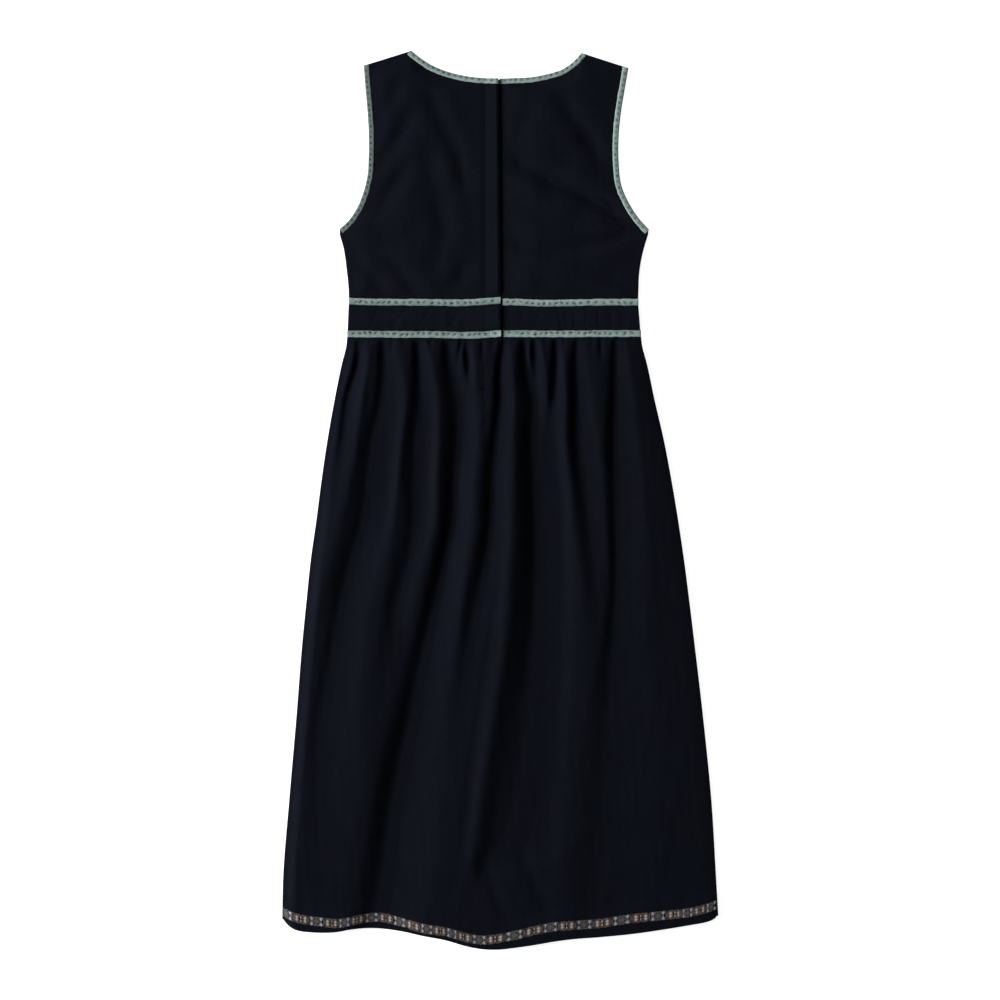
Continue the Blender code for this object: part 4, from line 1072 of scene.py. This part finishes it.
def front_bodice(look):
    """One panel between the bindings, face down on the surface."""
    left, right = [outer_edge(side, ARMHOLE_BINDING[side] + FRONT_INSET, FRONT_INSET)
                   for side in SIDES]
    scoop = moved_out(along(FRONT_NECK, np.linspace(0, 1, FRONT_NECK_COLUMNS)), NECK_BINDING)
    scoop[[0, -1], 1] -= SEAM_ROLL
    tops = []
    for edge, tip in ((left, scoop[0]), (right, scoop[-1])):
        edge[0, 1] -= SEAM_ROLL
        shares = np.linspace(0, 1, SHOULDER_COLUMNS // 2 + 1)[:-1, None]
        tops.append(edge[0] + (tip - edge[0]) * shares)
    top = np.vstack([tops[0], scoop, tops[1][::-1]])
    x_waist = np.linspace(left[-1][0], right[-1][0], len(top))
    bottom = np.stack([x_waist, trim_middle("front", 1, x_waist) + TRIM_HALF + GAP], axis=-1)
    left[-1], right[-1] = bottom[0], bottom[-1]
    plan = coons(top, bottom, left, right)
    x, y = plan[..., 0], plan[..., 1]
    near = np.minimum.reduce(edge_distance(plan))
    soft = creases(-x - 8, y, DRAPES) + creases(-x - 8, y, ARM_CREASES)
    z = ease(near / PUFF_REACH) * 0.5 * np.minimum(soft, 1.2)
    grid = np.concatenate([plan, z[..., None]], axis=-1)
    return cloth("bodice_front_cloth", grid, SHELL, look, facing=-1), scoop, left, right


# ---- Trims and bindings ----


PUCKER_STEP = (5.2, 9.4)        # least and most way from one pucker of a trim to the next
PUCKER_SLANT = 1.2
BINDING_PUCKERS = ((1.6, 1.35), 0.0, (5.6, 7.4))  # size, slant and way between them on a binding


def pucker_places(length, seed, step=PUCKER_STEP):
    """Uneven places of the stitches that pull a trim in, with their strengths, how far they
    are off their line and which way they slant."""
    rng = np.random.default_rng(seed)
    gaps = rng.uniform(*step, int(length / step[0]) + 2)
    places = np.cumsum(gaps)
    places = places[places < length - 2.0]
    return (places, rng.uniform(0.6, 1.0, len(places)), rng.uniform(-0.5, 0.5, len(places)),
            rng.uniform(-1.0, 1.0, len(places)))


def puckers(s, t, seed, line, size=(1.7, 1.45), slant=PUCKER_SLANT, step=PUCKER_STEP):
    """Mask of the puckers on a strip: s along it and t across it in mm."""
    mask = np.zeros(np.broadcast(s, t).shape)
    for place, strength, shift, lean in zip(*pucker_places(float(np.max(s)), seed, step)):
        dt = t - line - shift
        ds = s - place - slant * lean * dt
        mask = np.maximum(mask, strength * np.exp(-(ds / size[0]) ** 2 - (dt / size[1]) ** 2))
    return mask


PUCKER_LINE = {1: -0.3, 2: 0.7}  # the upper and lower trims are puckered off their middles


def trim_pucker_line(which, s, seed):
    """How far off a trim's middle its puckers lie, which wanders along it."""
    return PUCKER_LINE[which] + 0.5 * waves(s, seed + 70, (30, 90))


# Half a trim's width is 1: place across it, height over the cloth
TRIM_SECTION = [(1, 0.1), (0.985, 0.55), (0.93, 0.85), (0.8, 1.08), (0.6, 1.2), (0.38, 1.28),
    (0.15, 1.32), (-0.1, 1.33), (-0.34, 1.3), (-0.56, 1.22), (-0.76, 1.08), (-0.9, 0.86),
    (-0.98, 0.55), (-1, 0.1)]


def waist_trim(name, side, which, x, seat, look, seed, ends="", facing=1):
    """A velvet trim over a waist seam, puckered by the stitches along its middle. ends says
    which ends turn over a side seam."""
    y = trim_middle(side, which, x)
    s = lengths_along(np.column_stack([x, y]))[None]
    across, lift = np.array(TRIM_SECTION).T[:, :, None]
    half = TRIM_HALF + 0.18 * waves(s, seed + 50, (9, 40))
    t = across * half
    mask = puckers(s, t, seed, trim_pucker_line(which, s, seed))
    # painted light: the upper trim is painted lighter toward its top edge and the lower trim toward
    # its bottom edge
    nap = 0.5 - (0.5 if which == 2 else -0.5) * t / half
    body = np.sqrt(np.minimum(1.0, lift / TRIM_BODY))
    z = lift * (1 + 0.06 * waves(s, seed + 90, (6, 30))) - PUCKER_DEPTH * mask * body
    z = seat[None] + z if facing > 0 else TRIM - np.minimum(z, TRIM_BODY) * TRIM / TRIM_BODY
    grid = np.stack([np.broadcast_to(x, t.shape), y[None] + t, z], axis=-1)
    if facing > 0:
        grid = with_rolled_sides(grid, ends, TRIM_ROLL)
        pads = [(0, 0), [(len(ROLL_STEPS) + 1) * (end in ends) for end in ("left", "right")]]
        mask = np.pad(mask, pads)
        nap = np.pad(nap, pads, mode="edge")
    # the pucker mark also paints the pucker dents almost black, as painted shade
    return cloth(name, grid, VELVET, look, facing, pucker=mask, nap=nap)


BINDING_GRID = 1.1      # length of a binding's grid cells
# Section of a binding, from its inner edge over the cloth's edge and down: distance in from the
# outer edge as a share of the width, height over the cloth
BINDING_DIP = 0.6       # the puckers press a back binding in by this much
BINDING_SECTION = [(1, 0.05), (0.98, 0.45), (0.92, 0.75), (0.8, 0.95), (0.64, 1.05), (0.48, 1.1),
    (0.34, 1.08), (0.22, 0.98), (0.12, 0.78), (0.05, 0.45), (0.01, 0), (0, -0.6)]


def finer(line, step):
    """A line of x, y and z divided anew into steps of one length, seen from above."""
    s = lengths_along(line[:, :2])
    return points_at(np.linspace(0, s[-1], int(s[-1] / step) + 2), s, line)


def back_binding(name, edge, high, width, outward, look, seed, line=-0.4):
    """A velvet binding folded over a cut edge of the back; line says where it is puckered."""
    points = finer(np.column_stack([edge, high]), BINDING_GRID)
    edge, high = points[:, :2], points[:, 2]
    s = lengths_along(edge)
    right = sideways(edge) * outward
    wobble = 0.15 * waves(s, seed + 20, (8, 35))
    puff = 1 + 0.08 * waves(s, seed + 30, (6, 25))
    rows, masks, painted_shading_rows = [], [], []
    for share, lift in BINDING_SECTION:
        inward = share * (width + wobble)
        mask = puckers(s, inward - 0.5 * width, seed, line, *BINDING_PUCKERS)
        z = high + lift * puff - BINDING_DIP * mask * (lift > 0.5)
        rows.append(np.column_stack([edge + right * (EDGE_INSET - inward)[:, None], z]))
        masks.append(mask)
        # painted shade: the binding is painted darker where it turns over the cut edge and lighter
        # where it lies over the cloth
        painted_shading_rows.append(0.0 * s + np.clip(1.3 * share, 0, 1))
    rows.append(rows[-1] * (1, 1, 0) + (0, 0, BACK_BASE))
    masks.append(0.0 * s)
    painted_shading_rows.append(0.0 * s)
    # the pucker mark also paints the pucker dents almost black, as painted shade
    return cloth(name, np.stack(rows), VELVET, look, pucker=np.stack(masks), nap=np.stack(painted_shading_rows))


def front_binding(name, edge, width, outward, look, seed):
    """A binding of the front, edge to edge with the panel and face down on the surface."""
    s = lengths_along(edge)
    right = sideways(edge) * outward
    rows, masks = [], []
    for share, lift in BINDING_SECTION[:-2]:
        outwards = (1 - share) * width
        mask = puckers(s, outwards - 0.5 * width, seed, 0.4, *BINDING_PUCKERS)
        z = TRIM - lift * TRIM / 1.1 + 0.5 * mask * (lift > 0.5)
        rows.append(np.column_stack([edge + right * outwards, z]))
        masks.append(mask)
    rows.append(rows[-1] * (1, 1, 0) + (0, 0, CLOTH))
    masks.append(0.0 * s)
    # the pucker mark also paints the pucker dents almost black, as painted shade
    return cloth(name, np.stack(rows), VELVET, look, facing=-1, pucker=np.stack(masks))


def waistband(name, side, x_upper, x_lower, off, seat, look, facing=1, fold=0.0):
    """A band of cloth that starts and ends a little off the middles of the trims, with its small
    creases; fold is the share of the lap's folded edge that runs on over it."""
    t = np.linspace(0, 1, BAND_ROWS)[:, None]
    x = x_upper + (x_lower - x_upper) * t
    y_upper = trim_middle(side, 1, x_upper) - off
    y = y_upper + (trim_middle(side, 2, x_lower) + off - y_upper) * t
    bulge = 0.7 * np.sin(np.pi * t) * (1 + 0.25 * waves(x, 12, (14, 60)))
    fine = creases(x, y, BAND_CREASES) * np.sin(np.pi * t)
    z = seat + bulge - fine if facing > 0 else 0.25 * fine
    z = z + fold * lap_fold(x, y) * ease((t - 0.1) / 0.12) * ease((0.9 - t) / 0.12)
    grid = np.stack([x, y, z], axis=-1)
    if facing > 0:
        grid = with_rolled_sides(grid, side, SEAM_ROLL)
    return cloth(name, grid, SHELL, look, facing)


# ---- Stitches ----


STITCH_SECTION = ((-0.5, 0.25), (-0.36, 0.85), (0.0, 1.0), (0.36, 0.85), (0.5, 0.25))
STITCH_SIDES = 6
STITCH_BESIDE = 0.4     # the stitches run this far beside a binding
STITCH_OVER = 0.3       # and their middles this far over the cloth
UPWARD = (0.0, 1.0, 0.0)    # toward the neck


def stitches(name, centres, directions, look, length=2.4, radius=0.30):
    """A row of stitches: short spindles of thread, one at each centre."""
    directions = np.broadcast_to(directions, centres.shape)
    directions = directions / np.linalg.norm(directions, axis=1)[:, None]
    side = np.cross(directions, np.array([0.0, 0.0, 1.0]))
    side /= np.maximum(np.linalg.norm(side, axis=1), 1e-9)[:, None]
    up = np.cross(side, directions)
    points = []
    for share, girth in STITCH_SECTION:
        for angle in np.arange(STITCH_SIDES) * 2 * np.pi / STITCH_SIDES:
            offset = side * np.cos(angle) + up * np.sin(angle)
            points.append(centres + directions * (share * length) + offset * radius * girth)
    points = np.stack(points, axis=1)
    ring = np.arange(STITCH_SIDES)
    after = (ring + 1) % STITCH_SIDES
    rings = np.arange(len(STITCH_SECTION)) * STITCH_SIDES
    faces = []
    for near, far in zip(rings, rings[1:]):
        faces += np.stack([ring + near, ring + far, after + far, after + near], axis=-1).tolist()
    faces += [ring.tolist(), (ring + rings[-1])[::-1].tolist()]
    every = [[v + n * points.shape[1] for v in face] for n in range(len(centres)) for face in faces]
    made = add_object(name, points.reshape(-1, 3), every, [look])
    made.data.shade_smooth()
    return made


def stitch_row(name, line, look, seed, pitch=3.0, length=2.3, radius=0.30):
    """Stitches one after another along a line of x, y and z, a little unevenly spaced."""
    s = lengths_along(line[:, :2])
    rng = np.random.default_rng(seed)
    places = np.arange(pitch, s[-1] - pitch / 2, pitch)
    places = places + rng.uniform(-0.1, 0.1, len(places)) * pitch
    start, end = points_at(places - 0.5, s, line), points_at(places + 0.5, s, line)
    drift = rng.normal(0.0, 0.06, (len(places), 3)) * (1, 1, 0)
    return stitches(name, (start + end) / 2, end - start + drift, look, length, radius)


def pucker_stitches(name, middle, which, seed, look):
    """The slanting stitches that pull a trim in; middle is the trim's crown line."""
    s = lengths_along(middle[:, :2])
    places, strengths, shifts, leans = pucker_places(s[-1], seed)
    centres = points_at(places, s, middle)
    centres[:, 1] += shifts + trim_pucker_line(which, places, seed)
    centres[:, 2] += TRIM_BODY - PUCKER_DEPTH * strengths
    directions = np.column_stack([PUCKER_SLANT * leans, 0 * leans + 1.0, 0 * leans])
    return stitches(name, centres, directions, look, 2.0, 0.24)


# ---- Studio ----


CAMERA_HEIGHT = 4.0
SENSOR = 36.0
MM_PER_PIXEL = 1.1275
SEEN_HEIGHT = 0.008     # the dress's usual height, at which that scale holds
CAMERA_Y = -0.0007
FLOOR_HALF = 12000.0


def camera():
    made = bpy.data.cameras.new("camera")
    made.sensor_width = SENSOR
    made.lens = SENSOR * (CAMERA_HEIGHT - SEEN_HEIGHT) / MM_PER_PIXEL
    made.clip_end = 20.0
    held = bpy.data.objects.new("camera", made)
    held.location = (0.0, CAMERA_Y, CAMERA_HEIGHT)
    bpy.context.collection.objects.link(held)
    bpy.context.scene.camera = held


def area_light(name, place, width, height, power):
    """A soft light aimed at the middle of the dress."""
    made = bpy.data.lights.new(name, "AREA")
    made.shape = "ELLIPSE"
    made.size = width
    made.size_y = height
    made.energy = power
    held = bpy.data.objects.new(name, made)
    held.location = place
    away = np.array(place) / np.linalg.norm(place)
    held.rotation_euler = (math.acos(away[2]), 0.0, math.atan2(away[1], away[0]) + math.pi / 2)
    bpy.context.collection.objects.link(held)


def studio():
    camera()
    area_light("key", (-5.32, 0.75, 2.68), width=2.4, height=3.2, power=485.0)
    world = bpy.data.worlds.new("studio")
    world.use_nodes = True
    background = world.node_tree.nodes["Background"].inputs
    background["Color"].default_value = (1.0, 1.0, 1.0, 1.0)
    background["Strength"].default_value = 0.05
    bpy.context.scene.world = world
    bpy.context.scene.view_settings.view_transform = "Standard"
    corners = [(x * FLOOR_HALF, y * FLOOR_HALF, 0) for x, y in ((-1, -1), (1, -1), (1, 1), (-1, 1))]
    add_object("floor", corners, [(0, 1, 2, 3)], [floor_look()])


# ---- The dress ----


PANEL_NODES = {"bodice_front": "front_bodice", "bodice_back_left": "back_bodice_left",
               "bodice_back_right": "back_bodice_right"}
# Lighter and darker copies of the one sage velvet, piece by piece: painted light and shade for how
# the light falls on each, with the tab painted brightest as painted highlight
VELVET_PAINTED_TONES = {"trim": 1.0, "trim_left": 1.08, "trim_right": 1.22, "armhole_left": 0.70,
                "armhole_right": 1.16, "tab": 1.55}
FIGURE_COLOURS = {"rose": (0.108, 0.077, 0.070), "cream": (0.52, 0.43, 0.385),
                  "line": (0.20, 0.185, 0.20), "green": (0.125, 0.112, 0.098),
                  "white": (0.44, 0.43, 0.47)}


def lay(piece):
    """Puts a sheet in its solid's place: fastens it to the dress and hides the solid."""
    stem, kind = piece.name.rsplit("_", 1)
    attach(piece, "root")
    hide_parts(PANEL_NODES.get(stem, stem))
    return piece.name


def sew(piece):
    """Fastens a row of stitches to the dress."""
    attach(piece, "root")


def build():
    navy = navy_look()
    sage = {key: sage_look("sage_" + key + "_look", tone) for key, tone in VELVET_PAINTED_TONES.items()}
    # near-black thread: the stitches are real, and their near-black colour also paints the thin
    # line of shade along the bindings, the trims and the placket
    shade_line_thread = woven_look("dark_thread_look", (0.0020, 0.0021, 0.0028), 0.05)
    lap_thread = woven_look("navy_thread_look", (0.0052, 0.0058, 0.0090), 0.05)
    pale = woven_look("sage_thread_look", (0.060, 0.095, 0.085), 0.1)
    ribbon = [woven_look("ribbon_ground_look", (0.0045, 0.0045, 0.0062), 0.10)]
    ribbon += [woven_look("ribbon_" + key + "_look", colour)
               for key, colour in FIGURE_COLOURS.items()]
    skirt(navy, ribbon)
    for n, side in enumerate(SIDES):
        back(n, side, navy, sage, shade_line_thread)
    front(navy, sage["trim"])
    for side in SIDES:
        back_waist(side, navy, sage["trim_" + side], shade_line_thread, pale)
    end_tab(sage["tab"], pale)
    front_waist(navy, sage["trim"])
    seams(shade_line_thread, lap_thread)


def skirt(navy, ribbon):
    lay(back_skirt(navy))
    lay(front_skirt(navy))

    def on_skirt(x, y):
        return skirt_top(x, y) + 0.1 + RIBBON_WALL

    def on_floor(x, y):
        return RAISED + 0.0 * x

    lay(hem_ribbon("hem_ribbon_back_weave", on_skirt, 0.3, ribbon, 1))
    lay(hem_ribbon("hem_ribbon_front_weave", on_floor, 2.0, ribbon, -1))


def back(n, side, navy, sage, shade_line_thread):
    """One back panel with its bindings; n numbers the draws of its uneven details."""
    outward = 1.0 if side == "left" else -1.0
    piece, plan, z = back_bodice(side, navy)
    panel = lay(piece)
    arm = (slice(0, ARM_ROWS), 0 if side == "left" else -1)
    wide = ARMHOLE_BINDING[side]
    lay(back_binding("armhole_binding_back_" + side + "_velvet", plan[arm], z[arm], wide, outward,
                     sage["armhole_" + side], 200 + n))
    # stitches beside the armhole binding: real stitching whose near-black colour paints the
    # binding's line of shade
    edge = beside_binding(plan[arm], z[arm], wide, outward)
    sew(stitch_row("armhole_stitches_" + side, edge, shade_line_thread, 400 + n))
    neck = slice(SHOULDER_COLUMNS, None) if side == "left" else slice(0, -SHOULDER_COLUMNS)
    line, high = plan[0, neck], z[0, neck]
    if side == "right":
        shown = line[:, 0] > lap_edge(line[:, 1]) + LAP_SHOWS
        line, high = line[shown], high[shown]
    lay(back_binding("neck_binding_back_" + side + "_velvet", line, high, NECK_BINDING, -1.0,
                     sage["trim_" + side], 210 + n, NECK_PUCKER_LINE))
    # stitches beside the neck binding: real stitching whose near-black colour paints the binding's
    # line of shade
    edge = beside_binding(line, high, NECK_BINDING, -1.0)
    sew(stitch_row("neck_stitches_" + side, edge, shade_line_thread, 410 + n))


def front(navy, sage):
    piece, scoop, left, right = front_bodice(navy)
    lay(piece)
    lay(front_binding("neck_binding_front_velvet", scoop, NECK_BINDING, -1.0, sage, 220))
    for n, (side, edge, outward) in enumerate((("left", left, 1.0), ("right", right, -1.0))):
        wide = ARMHOLE_BINDING[side]
        lay(front_binding("armhole_binding_front_" + side + "_velvet", edge[:ARM_ROWS], wide,
                          outward, sage, 230 + n))


def beside_binding(edge, high, width, outward):
    """The line on the cloth right beside the inner edge of a back binding."""
    inward = -sideways(edge) * outward
    line = edge + inward * (width - EDGE_INSET + STITCH_BESIDE)
    return np.column_stack([line, high + STITCH_OVER])


def seams(shade_line_thread, lap_thread):
    """The stitched line that holds the lap down, its bar tack and a short row on the band."""
    for n, (name, top, foot, count, off, over) in enumerate((
            ("lap_stitches", 470.0, 228.0, 60, 0.2, 0.05),
            ("band_lap_stitches", 216.0, 192.0, 10, 0.3, 0.5))):
        y = np.linspace(top, foot, count)
        high = BACK_BASE + CLOTH + LAP_RISE + over
        line = np.column_stack([0 * y - LAP - off, y, 0 * y + high])
        sew(stitch_row(name, line, lap_thread, 420 + n, 3.4, 2.6, 0.20))
    y = np.linspace(179.0, 126.0, 30)
    x = np.interp(y, [126.0, 180.0], [-20.6, -18.8])
    placket = np.column_stack([x, y, skirt_top(x, y, 1.0) + 0.15])
    sew(stitch_row("placket_stitches", placket, shade_line_thread, 422, 3.2, 2.6, 0.28))
    x = np.linspace(-22.2, -18.6, 6)
    y = 0 * x + 124.6
    tack = np.column_stack([x, y, skirt_top(x, y, 1.0) + 0.2])
    sew(stitches("bar_tack", tack, UPWARD, shade_line_thread, 2.2, 0.32))
    x = np.linspace(-86.0, -32.0, 30)
    row = np.column_stack([x, trim_middle("left", 1, x) - 7.2, back_seat("left", x) + 0.62])
    sew(stitch_row("band_stitches", row, shade_line_thread, 423, 4.4, 2.4, 0.24))


def between(side, inner, outer, count):
    """Places from left to right between the inner and the outer end of a strip of the back."""
    return np.linspace(outer, inner, count) if side == "left" else np.linspace(inner, outer, count)


def back_seat(side, x):
    """Height of what the back's band and trims lie on."""
    return BACK_BASE + CLOTH + (lap_height(x) if side == "left" else 0.0 * x)


def back_waist(side, navy, sage, shade_line_thread, pale):
    """Waistband and trims of one side of the back."""
    sign = -1.0 if side == "left" else 1.0
    side_x, side_x_lower = BAND_SIDE[side]
    x = between(side, inner_edge(side, trim_middle(side, 1, 0.0)), side_x - sign * SEAM_ROLL,
                BAND_COLUMNS)
    x_lower = x + np.clip(sign * x / abs(side_x), 0, 1) * (side_x_lower - side_x)
    band = lay(waistband("waistband_back_" + side + "_cloth", side, x, x_lower, GAP / 2,
                         back_seat(side, x), navy, fold=BAND_FOLD if side == "left" else 0.0))
    for which, name in enumerate(("upper", "lower"), 1):
        inner = lap_edge(trim_middle(side, which, 0.0)) + (TRIM_SHOWS if side == "right" else 0.0)
        x = between(side, inner, BAND_SIDE[side][which - 1] - sign * (TRIM_ROLL - 0.4),
                    TRIM_COLUMNS[side])
        seat = back_seat(side, x)
        seed = 230 + 10 * which + (side == "right")
        lay(waist_trim("waist_trim_" + name + "_back_" + side + "_velvet", side, which, x, seat,
                       sage, seed, side))
        ends = "_%s_%s" % (name, side)
        # stitches beside each trim edge: real stitching whose near-black colour paints the line of
        # shade along the trim
        for k, off in enumerate((TRIM_HALF + 0.5, -TRIM_HALF - 0.5)):
            line = np.column_stack([x, trim_middle(side, which, x) + off, seat + STITCH_OVER])
            sew(stitch_row("trim_stitches%s_%d" % (ends, k), line, shade_line_thread, seed + 180 + k))
        crown = np.column_stack([x, trim_middle(side, which, x), seat])
        sew(pucker_stitches("pucker_stitches" + ends, crown, which, seed, pale))


def end_tab(sage, pale):
    """The end of the lower trim, folded back over itself at the lap's edge."""
    x_edge = lap_edge(trim_middle("left", 2, 0.0))
    x = np.linspace(x_edge - END_TAB, x_edge + 0.2, 26)
    seat = back_seat("left", x) + TRIM_RISE - 0.25
    lay(waist_trim("trim_end_tab_velvet", "left", 2, x, seat, sage, 290))
    y = trim_middle("left", 2, x[0]) + np.linspace(-0.7, 0.7, 4) * TRIM_HALF
    ends = np.column_stack([0 * y + x[0] - 0.2, y, 0 * y + seat[0] + 0.4])
    sew(stitches("tab_stitches", ends, UPWARD, pale, 2.2, 0.26))


def front_waist(navy, sage):
    """Waistband and trims of the front."""
    x = np.linspace(BAND_SIDE["left"][0] + FRONT_INSET, BAND_SIDE["right"][0] - FRONT_INSET,
                    FRONT_BAND_COLUMNS)
    lay(waistband("waistband_front_cloth", "front", x, x, TRIM_HALF + GAP, 0.0 * x, navy, -1))
    for which, name in enumerate(("upper", "lower"), 1):
        lay(waist_trim("waist_trim_" + name + "_front_velvet", "front", which, x, 0.0 * x, sage,
                       300 + which, facing=-1))


build()
studio()
